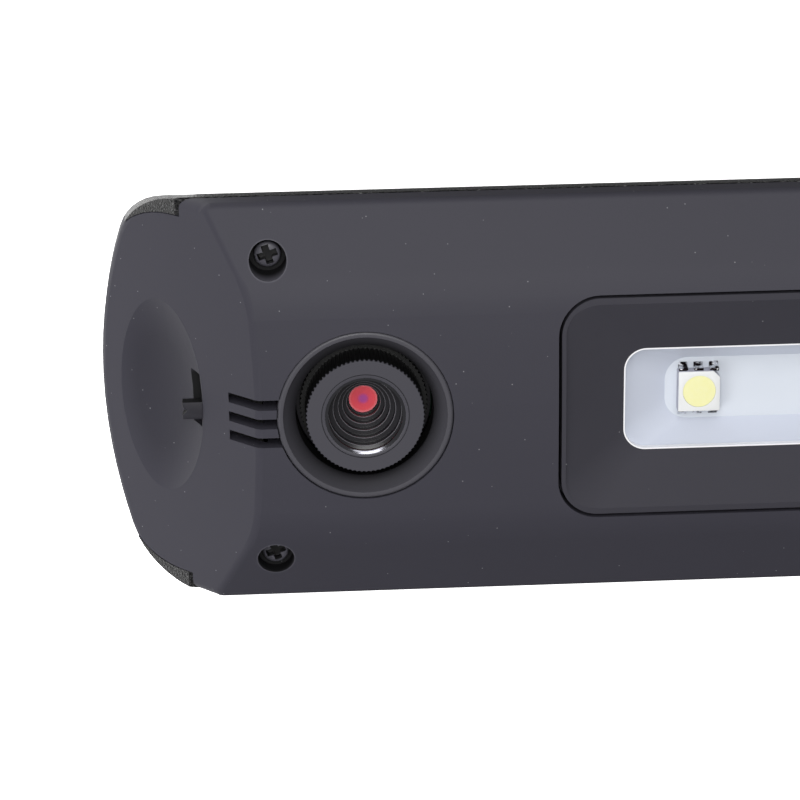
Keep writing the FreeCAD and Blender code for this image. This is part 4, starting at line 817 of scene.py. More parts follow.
# Steel wire drawn and bent: long bright streaks along the bail.
STEEL = BrushedMetal(
    "drawn_steel_wire", "C6C7CA", "B4B5B9", 0.24, metallic=1.0, mottle_mm=3, grain_mm=0.12,
    relief_mm=0.006)
# Aluminium laminated with film and pressed round the cell: a soft silver with faint waves.
FOIL = BrushedMetal(
    "laminated_foil_pouch", "C4C7CC", "B5B8BE", 0.38, metallic=1.0, mottle_mm=8, grain_mm=0.5,
    relief_mm=0.02)
# PVC extruded over the strands: a clear red that leads the eye from battery to board.
INSULATION = Finish(
    "red_wire_insulation", "A01C1C", "8C1616", 0.35, mottle_mm=2, grain_mm=0.2)
# Polyester film laminated over copper: a flat, warm cream strip.
RIBBON = Finish("flat_cable_film", "D8D4C8", "CEC9BB", 0.3, 1.55, mottle_mm=4, grain_mm=0.5)
# Nylon moulded without pigment: a milky ivory plug.
NATURAL_NYLON = Finish(
    "natural_nylon", "DAD6C8", "CFCBBC", 0.45, 1.53, mottle_mm=2, grain_mm=0.2)
# Sintered magnet plated with nickel: two round grey mirrors in the grained back.
NICKEL = BrushedMetal(
    "nickel_plated_magnet", "CACACB", "BDBDBF", 0.2, metallic=1.0, mottle_mm=3, grain_mm=0.15,
    relief_mm=0.003)

CAD_FINISHES: dict[str, Finish] = {
    "front_cover": COVER, "rear_cover": REAR, "usb_flap": COVER, "window_bezel": BEZEL,
    "reflector_tray": TRAY, "led_board": WHITE_BOARD, "led_board_screws": ZINC_SCREW,
    "lens_holder": BAFFLE, "lens_spacer": BAFFLE, "lens_retainer": BAFFLE,
    "rear_lens": REAR_GLASS, "ir_filter": FILTER_GLASS, "image_sensor": CHIP,
    "camera_board": GREEN_BOARD, "camera_screws": ZINC_SCREW, "vent_foam": FOAM,
    "switch_housing": HOUSING, "switch_board": GREEN_BOARD, "switch_screws": ZINC_SCREW,
    "main_board": GREEN_BOARD, "main_screws": ZINC_SCREW, "board_chips": CHIP,
    "tact_switch": CHIP, "tact_plunger": HOUSING, "power_button": RUBBER,
    "light_pipe": ACRYLIC, "flap_pin": STEEL, "flap_seal": SEAL, "usb_socket": STEEL,
    "charge_board": GREEN_BOARD, "battery_cell": FOIL, "battery_pads": FOAM,
    "battery_plug": NATURAL_NYLON, "battery_wires": INSULATION, "led_wires": INSULATION,
    "camera_ribbon": RIBBON, "magnets": NICKEL,
}


# ---------------------------------------------------------------- grown geometry
class Grower:
    """A Geometry Nodes tree with named inputs that grows a plain mesh from a seed mesh.

    A kind of grower gives its name and its inputs' usual values; a whole number makes a
    whole-number input. Lengths are in metres, since Geometry Nodes works in them.
    """

    name: str = ""
    usual: Mapping[str, float] = {}

    def __init__(self) -> None:
        """Makes the tree."""
        self.tree = bpy.data.node_groups.new(self.name, "GeometryNodeTree")
        face = self.tree.interface
        face.new_socket("Seed", in_out="INPUT", socket_type="NodeSocketGeometry")
        self.keys: dict[str, str] = {}
        for label, value in self.usual.items():
            kind = "NodeSocketInt" if isinstance(value, int) else "NodeSocketFloat"
            self.keys[label] = face.new_socket(label, in_out="INPUT", socket_type=kind).identifier
        self.paint = face.new_socket(
            "Finish", in_out="INPUT", socket_type="NodeSocketMaterial").identifier
        face.new_socket("Part", in_out="OUTPUT", socket_type="NodeSocketGeometry")
        self.given = add_node(self.tree, "NodeGroupInput").outputs
        real = self.add("GeometryNodeRealizeInstances", {0: self.body()})
        painted = self.add("GeometryNodeSetMaterial", {0: real, 2: self.given["Finish"]})
        self.add("NodeGroupOutput", {0: painted})

    def body(self) -> Node:
        """Builds the tree between its seed and its end, and returns the last node."""
        raise NotImplementedError

    def add(self, kind: str, inputs: Mapping | None = None, **settings) -> Node:
        """Adds a node to the tree."""
        return add_node(self.tree, kind, inputs, **settings)

    def grow(self, name: str, seed: Mesh, finish: Finish, sizes: Mapping[str, float]) -> Piece:
        """Grows one piece and leaves it as a plain mesh.

        Args:
            name: The piece's name.
            seed: The mesh that the tree starts from.
            finish: The surface it gets.
            sizes: Values for the tree's named inputs that are not the usual ones.

        Returns:
            The piece, at the origin.
        """
        holder = bpy.data.objects.new(name + "_seed", seed)
        bpy.context.scene.collection.objects.link(holder)
        modifier = holder.modifiers.new("grow", "NODES")
        modifier.node_group = self.tree
        for label, value in {**self.usual, **sizes}.items():
            modifier[self.keys[label]] = value
        modifier[self.paint] = finish.material()
        graph = bpy.context.evaluated_depsgraph_get()
        plain = bpy.data.meshes.new_from_object(holder.evaluated_get(graph), depsgraph=graph)
        bpy.data.objects.remove(holder)
        plain.materials.clear()
        plain.materials.append(finish.material())
        plain.polygons.foreach_set("material_index", [0] * len(plain.polygons))
        return finished(name, plain)


class TurnedPart(Grower):
    """A section swept round an upright axis, with teeth cut where it is widest."""

    name = "turned_part"
    usual = {"Corners": 4, "Closed": 1, "Steps": 96, "Teeth": 0, "Tooth Depth": 0.0,
             "Tooth Floor": 1.0, "Axis X": 0.0}

    def body(self) -> Node:
        """Bends a grid of section corners by steps round the axis.

        Returns:
            The last node, which closes the seams.
        """
        add, given = self.add, self.given
        across = add("ShaderNodeMath", {0: given["Corners"], 1: given["Closed"]}, operation="ADD")
        around = add("ShaderNodeMath", {0: given["Steps"], 1: 1.0}, operation="ADD")
        grid = add("GeometryNodeMeshGrid", {"Vertices X": across, "Vertices Y": around})
        index = add("GeometryNodeInputIndex")
        middle = add("ShaderNodeMath", {0: index, 1: 0.5}, operation="ADD")
        part = add("ShaderNodeMath", {0: middle, 1: around}, operation="DIVIDE")
        row = add("ShaderNodeMath", {0: part}, operation="FLOOR")
        passed = add("ShaderNodeMath", {0: row, 1: around}, operation="MULTIPLY")
        step = add("ShaderNodeMath", {0: index, 1: passed}, operation="SUBTRACT")
        corner = add("ShaderNodeMath", {0: row, 1: given["Corners"]}, operation="FLOORED_MODULO")
        sampled = add("GeometryNodeSampleIndex", {"Geometry": given["Seed"], "Index": corner},
                      data_type="FLOAT_VECTOR")
        value = next(s for s in sampled.inputs if s.name == "Value" and s.type == "VECTOR")
        self.tree.links.new(result(add("GeometryNodeInputPosition")), value)
        spot = add("ShaderNodeSeparateXYZ", {0: sampled}).outputs
        share = add("ShaderNodeMath", {0: step, 1: given["Steps"]}, operation="DIVIDE")
        turn = add("ShaderNodeMath", {0: share, 1: math.tau}, operation="MULTIPLY")
        beat = add("ShaderNodeMath", {0: turn, 1: given["Teeth"]}, operation="MULTIPLY")
        swing = add("ShaderNodeMath", {0: beat}, operation="COSINE")
        wave = add("ShaderNodeMath", {0: swing, 1: -0.5, 2: 0.5}, operation="MULTIPLY_ADD")
        over = add("ShaderNodeMath", {0: spot["X"], 1: given["Tooth Floor"]},
                   operation="SUBTRACT")
        proud = add("ShaderNodeMath", {0: over, 1: 0.0}, operation="MAXIMUM")
        tooth = add("ShaderNodeMath", {0: proud, 1: given["Tooth Depth"]}, operation="MINIMUM")
        lost = add("ShaderNodeMath", {0: wave, 1: tooth}, operation="MULTIPLY")
        reach = add("ShaderNodeMath", {0: spot["X"], 1: lost}, operation="SUBTRACT")
        cosine = add("ShaderNodeMath", {0: turn}, operation="COSINE")
        sine = add("ShaderNodeMath", {0: turn}, operation="SINE")
        out_x = add("ShaderNodeMath", {0: reach, 1: cosine}, operation="MULTIPLY")
        x = add("ShaderNodeMath", {0: out_x, 1: given["Axis X"]}, operation="ADD")
        y = add("ShaderNodeMath", {0: reach, 1: sine}, operation="MULTIPLY")
        bent = add("ShaderNodeCombineXYZ", {"X": x, "Y": y, "Z": spot["Z"]})
        moved = add("GeometryNodeSetPosition", {"Geometry": grid, "Position": bent})
        return add("GeometryNodeMergeByDistance", {"Geometry": moved, "Distance": SEAM})

    def turn(self, name: str, section: Sequence[Point], finish: Finish, closed: bool = True,
             steps: int = 128, teeth: int = 0, tooth_depth: float = 0.0,
             tooth_floor: float = 1000.0) -> Piece:
        """Turns a section about the lens axis.

        Args:
            name: The piece's name.
            section: Radius and height of each corner.
            finish: The surface it gets.
            closed: False for a solid whose section starts and ends on the axis.
            steps: How many flats the full turn has.
            teeth: How many teeth stand round the edge.
            tooth_depth: How deep they are.
            tooth_floor: The radius at their roots.

        Returns:
            The piece, at the origin.
        """
        return self.grow(name, section_mesh(section), finish, {
            "Corners": len(section), "Closed": int(closed), "Steps": steps, "Teeth": teeth,
            "Tooth Depth": tooth_depth * MM, "Tooth Floor": tooth_floor * MM, "Axis X": LENS_X})

    def blank(self, name: str, section: Sequence[Point], finish: Finish, steps: int) -> Mesh:
        """Turns a solid about the origin for another grower to repeat.

        Args:
            name: The solid's name.
            section: Radius and height of each corner, from the axis and back to it.
            finish: The surface it gets.
            steps: How many flats the full turn has.

        Returns:
            The solid's bare mesh.
        """
        piece = self.grow(name, section_mesh(section), finish, {
            "Corners": len(section), "Closed": 0, "Steps": steps})
        mesh = piece.data
        bpy.data.objects.remove(piece)
        return mesh


class Row(Grower):
    """Copies of the seed in a row along X, with a round cup cut into each one's top."""

    name = "row"
    usual = {"Count": 6, "Pitch": 0.01, "Start X": 0.0, "Cup Radius": 0.0, "Cup Top": 0.0,
             "Cup Depth": 0.0}

    def body(self) -> Node:
        """Cuts the cup if it has a size, then repeats the seed.

        Returns:
            The last node, which holds the copies.
        """
        add, given = self.add, self.given
        deep = add("ShaderNodeMath", {0: given["Cup Depth"], 1: 2.0}, operation="MULTIPLY")
        cutter = add("GeometryNodeMeshCylinder", {
            "Vertices": 64, "Radius": given["Cup Radius"], "Depth": deep})
        raised = add("GeometryNodeTransform", {
            "Geometry": cutter, "Translation": add("ShaderNodeCombineXYZ", {"Z": given["Cup Top"]})})
        cut = add("GeometryNodeMeshBoolean", {0: given["Seed"], 1: raised},
                  operation="DIFFERENCE", solver="EXACT")
        wanted = add("FunctionNodeCompare", {0: given["Cup Depth"], 1: 0.0}, data_type="FLOAT",
                     operation="GREATER_THAN")
        chosen = add("GeometryNodeSwitch", {0: wanted, 1: given["Seed"], 2: cut},
                     input_type="GEOMETRY")
        line = add("GeometryNodeMeshLine", {
            "Count": given["Count"],
            "Start Location": add("ShaderNodeCombineXYZ", {"X": given["Start X"]}),
            "Offset": add("ShaderNodeCombineXYZ", {"X": given["Pitch"]})}, mode="OFFSET")
        return add("GeometryNodeInstanceOnPoints", {"Points": line, "Instance": chosen})


class CornerScrews(Grower):
    """Cross recessed screws at the corners of a rectangle, each stopped at its own angle."""

    name = "corner_screws"
    usual = {"Span X": 0.2, "Span Y": 0.04, "Top Z": 0.017, "Slot Width": 0.0007,
             "Slot Reach": 0.0025, "Slot Depth": 0.0009, "Turn": 0.6, "Uneven": 0.12,
             "Seed Number": 7}

    def body(self) -> Node:
        """Cuts the cross into the seed head and sets it on the four corners.

        Returns:
            The last node, which holds the four screws.
        """
        add, given = self.add, self.given
        deep = add("ShaderNodeMath", {0: given["Slot Depth"], 1: 2.0}, operation="MULTIPLY")
        size = add("ShaderNodeCombineXYZ", {
            "X": given["Slot Reach"], "Y": given["Slot Width"], "Z": deep})
        bar = add("GeometryNodeMeshCube", {"Size": size})
        bars = [add("GeometryNodeTransform", {"Geometry": bar, "Rotation": (0.0, 0.0, turn)})
                for turn in (0.0, math.pi / 2)]
        head = add("GeometryNodeMeshBoolean", {0: given["Seed"], 1: bars},
                   operation="DIFFERENCE", solver="EXACT")
        grid = add("GeometryNodeMeshGrid", {
            "Size X": given["Span X"], "Size Y": given["Span Y"],
            "Vertices X": 2, "Vertices Y": 2})
        raised = add("GeometryNodeTransform", {
            "Geometry": grid, "Translation": add("ShaderNodeCombineXYZ", {"Z": given["Top Z"]})})
        stray = add("FunctionNodeRandomValue", {"Seed": given["Seed Number"]}, data_type="FLOAT")
        swing = add("ShaderNodeMath", {0: stray, 1: given["Uneven"], 2: given["Turn"]},
                    operation="MULTIPLY_ADD")
        return add("GeometryNodeInstanceOnPoints", {
            "Points": raised, "Instance": head,
            "Rotation": add("ShaderNodeCombineXYZ", {"Z": swing})})


class BentWire(Grower):
    """A round wire along a run of straight legs whose corners are bent to a radius."""

    name = "bent_wire"
    usual = {"Wire Radius": 0.0012, "Bend Radius": 0.004, "Bend Steps": 12, "Sides": 24}

    def body(self) -> Node:
        """Bends the legs and sweeps a circle along them.

        Returns:
            The last node, which holds the wire.
        """
        given = self.given
        legs = self.add("GeometryNodeMeshToCurve", {0: given["Seed"]})
        bent = self.add("GeometryNodeFilletCurve", {
            "Curve": legs, "Count": given["Bend Steps"], "Radius": given["Bend Radius"]},
            mode="POLY")
        ring = self.add("GeometryNodeCurvePrimitiveCircle", {
            "Resolution": given["Sides"], "Radius": given["Wire Radius"]})
        return self.add("GeometryNodeCurveToMesh", {
            "Curve": bent, "Profile Curve": ring, "Fill Caps": True})


# ---------------------------------------------------------------- sub-assemblies
@dataclass
class Casing:
    """The two covers and all that stays as the CAD made it."""

    nodes: Mapping[str, Piece]

    def build(self) -> None:
        """Gives each CAD node its finish."""
        for name, finish in CAD_FINISHES.items():
            dressed = self.nodes[name].data.materials
            dressed.clear()
            dressed.append(finish.material())
            LOG.info("%s wears %s", name, finish.name)


@dataclass
class CoverScrews:
    """Four black pan head screws sunk in the corners of the face."""

    grower: CornerScrews
    turner: TurnedPart
    head_radius: float = SCREW_RADIUS
    head: float = 1.1
    bulge: float = 3.6
    dome_steps: int = 12
    shank_radius: float = 1.1
    slot_width: float = 0.88
    slot_reach: float = 2.35
    slot_depth: float = 1.3
    turn_deg: float = 14.0

    def section(self, shank: float) -> list[Point]:
        """Works out the head's rounded outline and its shank.

        Args:
            shank: The shank's length.

        Returns:
            Radius and height of each corner, measured down from the head's top.
        """
        dome = []
        power = 2 / self.bulge
        for step in range(self.dome_steps):
            angle = math.pi / 2 * step / self.dome_steps
            dome.append((self.head_radius * math.sin(angle) ** power,
                         self.head * (math.cos(angle) ** power) - self.head))
        return dome + [(self.head_radius, -self.head), (self.shank_radius, -self.head),
                       (self.shank_radius, -self.head - shank), (0.0, -self.head - shank)]

    def build(self) -> None:
        """Makes the screws in place of the CAD ones."""
        low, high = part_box("case_screws")
        span = high - low
        section = self.section(span.z / MM - self.head)
        head = self.turner.blank("screw_blank", section, BLACK_SCREW, steps=48)
        across = 2 * (SCREW_RADIUS * MM)
        piece = self.grower.grow("case_screw_set", head, BLACK_SCREW, {
            "Span X": span.x - across, "Span Y": span.y - across, "Top Z": high.z,
            "Slot Width": self.slot_width * MM, "Slot Reach": self.slot_reach * MM,
            "Slot Depth": self.slot_depth * MM, "Turn": math.radians(self.turn_deg)})
        place(piece, Body.CASING, ["case_screws"], "screw_black")


@dataclass
class Bowl:
    """The bowl round the ring: a soft lip, a hollow slope and a dark throat."""

    turner: TurnedPart
    bore: float = 10.4  # the cover's hole that the bowl fills
    fit: float = 0.06
    rim_sunk: float = 0.02
    rim_round: float = 0.35
    rim_steps: int = 6
    lip: float = 0.75
    throat: float = 8.15
    throat_lip: float = 0.15
    throat_drop: float = 0.6
    dip: float = 1.5
    hollow: float = 0.8  # below 1 the slope sags
    slope_steps: int = 8
    crown: float = 150.0  # the radius that the face is bent to

    def build(self) -> None:
        """Turns the bowl and bends it to the crowned face."""
        low, high = box_mm("lens_surround")
        rim = high.z - self.rim_sunk
        wall, curl = self.bore - self.fit, self.rim_round
        section = [(wall, low.z), (wall, rim - curl)]
        for step in range(self.rim_steps + 1):
            turn = math.pi / 2 * step / self.rim_steps
            section.append((wall - curl * (1 - math.cos(turn)), rim - curl * (1 - math.sin(turn))))
        top, foot = self.bore - self.lip, self.throat + self.throat_lip
        for step in range(self.slope_steps + 1):
            share = step / self.slope_steps
            section.append((top + (foot - top) * share,
                            rim - self.fit - (self.dip + curl) * share ** self.hollow))
        section += [(self.throat, rim - self.dip - self.throat_drop), (self.throat, low.z)]
        piece = self.turner.turn("lens_bowl", section, SURROUND)
        for vertex in piece.data.vertices:
            drop = vertex.co.y ** 2 / (2 * self.crown * MM)
            vertex.co.z = max(vertex.co.z - drop, low.z * MM)
        place(piece, Body.CASING, ["lens_surround"], "lens_black")


@dataclass
class FocusRing:
    """The knurled ring: fine teeth, a groove in its face and a bare bevel round its mouth."""

    turner: TurnedPart
    radius: float = 7.0
    chamfer: float = 0.14
    mouth: float = 4.38
    mouth_drop: float = 0.21
    bevel: float = 4.74
    face_sunk: float = 0.02  # the face inside the groove
    groove: float = 5.14
    groove_half: float = 0.06
    groove_floor: float = 0.03
    groove_depth: float = 0.16
    face: float = 0.7  # how thick the face is
    flange_radius: float = 7.6
    flange: float = 0.7
    flange_depth: float = 5.25
    tail_radius: float = 6.6
    teeth: int = 80
    steps_per_tooth: int = 8
    tooth_depth: float = 0.18
    least_up: float = 0.5  # how far a bare face looks up, so that the mouth's wall stays black

    def section(self) -> list[Point]:
        """Works out the ring's outline.

        Returns:
            Radius and height of each corner, from the mouth outwards and back.
        """
        low, high = box_mm("focus_ring")
        top, foot = high.z, high.z - self.flange_depth
        inner, pit = top - self.face_sunk, top - self.groove_depth
        return [
            (self.mouth, top - self.mouth_drop), (self.bevel, inner),
            (self.groove - self.groove_half, inner), (self.groove - self.groove_floor, pit),
            (self.groove + self.groove_floor, pit), (self.groove + self.groove_half, top),
            (self.radius - self.chamfer, top), (self.radius, top - self.chamfer),
            (self.radius, foot + self.flange), (self.flange_radius, foot + self.flange),
            (self.flange_radius, foot), (self.tail_radius, foot), (self.tail_radius, low.z),
            (RING_BORE, low.z), (RING_BORE, top - self.face), (self.mouth, top - self.face)]

    def build(self) -> None:
        """Turns the ring and bares its bevel."""
        piece = self.turner.turn(
            "focus_ring_knurled", self.section(), RING, steps=self.teeth * self.steps_per_tooth,
            teeth=self.teeth, tooth_depth=self.tooth_depth,
            tooth_floor=self.radius - self.tooth_depth)
        piece.data.materials.append(BARE_EDGE.material())
        for face in piece.data.polygons:
            reach = math.hypot(face.center.x - LENS_X, face.center.y) / MM
            if self.mouth < reach < self.bevel and face.normal.z > self.least_up:
                face.material_index = 1
        place(piece, Body.FOCUS_RING, ["focus_ring"], "lens_black")


@dataclass
class LensCell:
    """The sliding barrel, whose bore narrows in steps, and its red front glass."""

    turner: TurnedPart
    tail_radius: float = 4.5
    tail: float = 3.8
    clearance: float = 0.05
    mouth: float = 4.78
    mouth_drop: float = 0.28
    steps_in: tuple[float, ...] = (4.3, 3.66, 3.04, 2.5, 1.98)
    step_down: float = 0.92
    aperture: float = 1.7
    aperture_edge: float = 0.12
    soft: float = 0.06
    glass_radius: float = 2.9
    glass_sunk: float = 0.15
    dome: float = 0.25
    dome_steps: int = 10

    def barrel(self) -> None:
        """Turns the barrel with softened edges; those of its steps get a painted highlight."""
        low, high = box_mm("lens_cell")
        guide = RING_BORE - self.clearance
        section = [(self.glass_radius, low.z), (self.tail_radius, low.z),
                   (self.tail_radius, low.z + self.tail), (guide, low.z + self.tail),
                   (guide, high.z), (self.mouth, high.z)]
        count = len(self.steps_in)
        level = high.z - self.mouth_drop
        drop = (self.step_down * count - self.mouth_drop) / count
        edges = []
        for radius in self.steps_in:
            edges.append((radius, level))
            section += [(radius, level), (radius, level - drop)]
            level -= drop
        back = level - self.aperture_edge
        section += [(self.aperture, level), (self.aperture, back), (self.glass_radius, back)]
        # The steps' edges each get a painted highlight line.
        dressed = replace(BAFFLE, name=BAFFLE.name + "_worn", edges_mm=tuple(edges))
        piece = self.turner.turn("stepped_barrel", eased(section, self.soft), dressed)
        place(piece, Body.LENS_CELL, ["lens_cell"], "baffle_black")

    def glass(self) -> None:
        """Turns the glass as a shallow dome."""
        low, high = box_mm("front_lens")
        high.z -= self.glass_sunk
        bulge = (self.glass_radius ** 2 + self.dome ** 2) / (2 * self.dome)
        section = [(0.0, high.z)]
        for step in range(1, self.dome_steps + 1):
            radius = self.glass_radius * step / self.dome_steps
            section.append((radius, high.z - bulge + math.sqrt(bulge ** 2 - radius ** 2)))
        section += [(self.glass_radius, low.z), (0.0, low.z)]
        piece = self.turner.turn("front_glass", section, RED_GLASS, closed=False, steps=96)
        place(piece, Body.LENS_CELL, ["front_lens"], "coated_glass")

    def build(self) -> None:
        """Makes the barrel and its glass."""
        self.barrel()
        self.glass()


@dataclass
class LampRow:
    """Six LED packages in a row, each with leads and a disc of phosphor."""

    row: Row
    turner: TurnedPart
    count: int = 6
    size: float = 5.0
    height: float = 1.6
    cut: float = 0.8
    soft: float = 0.09
    cup_radius: float = 1.98
    cup_depth: float = 0.5
    cup_gap: float = 0.02  # between the cup and its phosphor
    disc_sunk: Sequence[float] = (0.03, 0.035, 0.06)  # at its middle, part way and rim
    disc_part: float = 0.6
    lead_pitch: float = 1.85
    lead_width: float = 1.1
    lead_soft: float = 0.07
    lead_root: float = 0.1  # how far a lead starts inside the body
    lead_reach: float = 0.78
    lead_height: float = 1.2
    lead_top: float = 0.14
    knee: float = 0.26
    knee_share: float = 0.9  # of the lead's height
    solder_foot: float = 0.16
    solder_rise: float = 0.4
    solder_share: float = 0.55  # of the lead's reach

    def package(self, base: float) -> Mesh:
        """Makes one white body with a cut corner and softened edges.

        Args:
            base: The board's height.

        Returns:
            The body's mesh, with its middle over the origin.
        """
        half = self.size / 2
        corners = [(-half, -half), (half, -half), (half, half - self.cut),
                   (half - self.cut, half), (-half, half)]
        return prisms("package", [[(x, y, base) for x, y in corners]], (0.0, 0.0, self.height),
                      self.soft)

    def leads(self, base: float) -> Mesh:
        """Makes one LED's six folded leads, each with solder that slopes down to the board.

        Args:
            base: The board's height.

        Returns:
            The leads' mesh, which stands round the body's.
        """
        half, reach, rise = self.size / 2, self.lead_reach, self.lead_height
        outline = [(-self.lead_root, 0.0), (reach, 0.0), (reach, self.solder_foot),
                   (reach * self.solder_share, self.solder_rise),
                   (self.knee, rise * self.knee_share), (self.lead_top, rise),
                   (-self.lead_root, rise)]
        sides = [[(index * self.lead_pitch - self.lead_width / 2, side * (half + out), base + up)
                  for out, up in outline] for index in (-1, 0, 1) for side in (-1, 1)]
        return prisms("leads", sides, (self.lead_width, 0.0, 0.0), self.lead_soft)

    def disc(self, top: float) -> list[Point]:
        """Works out the section of the phosphor, which sags towards its rim.

        Args:
            top: The height of the body's top.

        Returns:
            Radius and height of each corner.
        """
        rim, foot = self.cup_radius - self.cup_gap, top - self.cup_depth + self.cup_gap
        middle, part, edge = (top - sunk for sunk in self.disc_sunk)
        return [(0.0, middle), (self.cup_radius * self.disc_part, part), (rim, edge),
                (rim, foot), (0.0, foot)]

    def build(self) -> None:
        """Grows the three rows in place of the CAD ones."""
        low, high = box_mm("led_packages")
        spacing = {
            "Count": self.count, "Start X": (low.x + self.size / 2) * MM,
            "Pitch": (high.x - low.x - self.size) / (self.count - 1) * MM}
        cup = {"Cup Radius": self.cup_radius * MM, "Cup Top": high.z * MM,
               "Cup Depth": self.cup_depth * MM}
        blank = self.turner.blank("disc_blank", self.disc(high.z), PHOSPHOR, steps=64)
        for name, seed, finish, sizes, node, slot in (
                ("led_body_row", self.package(low.z), LED_BODY, cup, "led_packages", "led_white"),
                ("led_phosphor_row", blank, PHOSPHOR, {}, "led_phosphors", "phosphor"),
                ("led_lead_row", self.leads(low.z), TIN, {}, "led_leads", "tinned")):
            piece = self.row.grow(name, seed, finish, {**spacing, **sizes})
            place(piece, Body.CASING, [node], slot)


@dataclass
class ReflectorLip:
    """The reflector's thin upstanding edge, painted whiter than the tray as a painted highlight, so
    it shows as a bright line round the window.
    """

    half_y: float = 6.37
    corner: float = 2.7
    flange: float = 2.2
    gap: float = 0.02
    width: float = 0.17
    rise: float = 0.86
    corner_steps: int = 12

    def ring(self, middle: float, half_x: float, inset: float, level: float) -> list[Vector]:
        """Works out one loop of the edge, a rounded rectangle.

        Args:
            middle: The tray's middle along X.
            half_x: Half the window's length.
            inset: How far the loop is moved in.
            level: Its height.

        Returns:
            The loop's points, in metres.
        """
        radius = self.corner - inset
        points = []
        for index in range(4 * (self.corner_steps + 1)):
            quarter, step = divmod(index, self.corner_steps + 1)
            turn = math.pi / 2 * (quarter + step / self.corner_steps)
            side_x = 1 if quarter in (0, 3) else -1
            side_y = 1 if quarter in (0, 1) else -1
            points.append(Vector((
                middle + side_x * (half_x - self.corner) + radius * math.cos(turn),
                side_y * (self.half_y - self.corner) + radius * math.sin(turn), level)) * MM)
        return points

    def build(self) -> None:
        """Stands the edge on the tray."""
        low, high = box_mm("reflector_tray")
        middle = (low.x + high.x) / 2
        half_x = (high.x - low.x) / 2 - self.flange
        top = high.z + self.rise
        inner = self.gap + self.width
        work = bmesh.new()
        loops = [[work.verts.new(point) for point in self.ring(middle, half_x, inset, level)]
                 for inset, level in ((self.gap, high.z), (self.gap, top), (inner, top),
                                      (inner, high.z))]
        for index, loop in enumerate(loops):
            after = loops[(index + 1) % len(loops)]
            for step in range(len(loop)):
                onward = (step + 1) % len(loop)
                work.faces.new([loop[step], loop[onward], after[onward], after[step]])
        piece = finished("reflector_lip", plain_mesh(work, "lip"))
        # The edge's whiter colour is a painted highlight.
        piece.data.materials.append(LIP.material())
        place(piece, Body.CASING, (), "white_reflector")


@dataclass
class SlideKnob:
    """The small knob of the slide switch, with an arrow notch at its tip."""

    notch: float = 0.55
    head: float = 1.6
    stem: float = 2.35
    head_soft: float = 0.08
    soft: float = 0.05
    overlap: float = 0.1  # how far the stem reaches into the head
    stem_drop: float = 0.8  # below the head's middle

    def build(self) -> None:
        """Makes the knob in place of the CAD one."""
        low, high = box_mm("switch_knob")
        mid_y, under = (low.y + high.y) / 2, high.z - self.head
        end = high.x - self.stem
        outline = [(low.x, low.y), (end, low.y), (end, high.y), (low.x, high.y),
                   (low.x, mid_y + self.notch), (low.x + self.notch, mid_y),
                   (low.x, mid_y - self.notch)]
        head = prisms("knob", [[(x, y, under) for x, y in outline]], (0.0, 0.0, self.head),
                      self.head_soft)
        start, near, far = end - self.overlap, low.y + self.soft, high.y - self.soft
        foot, top = high.z - self.head / 2 - self.stem_drop, high.z - self.soft
        base = [(start, near, foot), (high.x, near, foot), (high.x, far, foot),
                (start, far, foot)]
        stem = prisms("block", [base], (0.0, 0.0, top - foot), self.soft)
        knob = finished("slide_knob", joined([head, stem]))
        knob.data.materials.append(KNOB.material())
        place(knob, Body.SWITCH_KNOB, ["switch_knob"], "switch_plastic")


@dataclass
class HangBail:
    """The bent wire that swings out of the back."""

    wire: BentWire
    radius: float = 1.2
    bend: float = 4.0
    half: float = 7.0

    def build(self) -> None:
        """Bends the wire in place of the CAD one."""
        low, high = box_mm("hang_bail")
        z = (low.z + high.z) / 2
        start, end = low.x + self.radius, high.x - self.radius
        path = [(end, -high.y, z), (end, -self.half, z), (start, -self.half, z),
                (start, self.half, z), (end, self.half, z), (end, high.y, z)]
        seed = points_mesh(path, [(i, i + 1) for i in range(len(path) - 1)])
        piece = self.wire.grow("hang_bail_wire", seed, STEEL, {
            "Wire Radius": self.radius * MM, "Bend Radius": self.bend * MM})
        place(piece, Body.HANG_BAIL, ["hang_bail"], "steel")


@dataclass(frozen=True)
class Lamp:
    """A square soft box: where it stands, what it faces and its side in metres, its watts."""

    name: str
    stands: Spot
    faces: Spot
    size: float
    watts: float
    mirrored: bool = True

    def build(self) -> None:
        """Lights the lamp; one that is not mirrored makes no highlight."""
        data = bpy.data.lights.new(self.name, "AREA")
        data.size = self.size
        data.energy = self.watts
        lamp = bpy.data.objects.new(self.name, data)
        lamp.location = self.stands
        turned = (Vector(self.stands) - Vector(self.faces)).to_track_quat("Z", "Y")
        lamp.rotation_euler = turned.to_euler()
        lamp.visible_glossy = self.mirrored
        bpy.context.scene.collection.objects.link(lamp)


@dataclass(frozen=True)
class Sheet:
    """A flat sheet of glowing paper that belongs to the studio; its corners are in metres."""

    name: str
    low: Point
    high: Point
    level: float  # metres
    paint: str
    matte: str
    glow: float

    def build(self) -> Piece:
        """Lays the sheet out.

        Returns:
            The sheet.
        """
        (left, near), (right, far) = self.low, self.high
        mesh = bpy.data.meshes.new(self.name)
        corners = ((left, near), (right, near), (right, far), (left, far))
        mesh.from_pydata([(x, y, self.level) for x, y in corners], [], [(0, 1, 2, 3)])
        sheet = bpy.data.objects.new(self.name, mesh)
        bpy.context.scene.collection.objects.link(sheet)
        paper = bpy.data.materials.new(self.paint)
        paper.use_nodes = True
        tree = paper.node_tree
        tree.nodes.clear()
        dull = add_node(tree, "ShaderNodeBsdfDiffuse", {"Color": linear(self.matte)})
        shine = add_node(tree, "ShaderNodeEmission", {
            "Color": linear("FFFFFF"), "Strength": self.glow})
        both = add_node(tree, "ShaderNodeAddShader", {0: dull, 1: shine})
        add_node(tree, "ShaderNodeOutputMaterial", {"Surface": both})
        mesh.materials.append(paper)
        sheet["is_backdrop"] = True
        return sheet


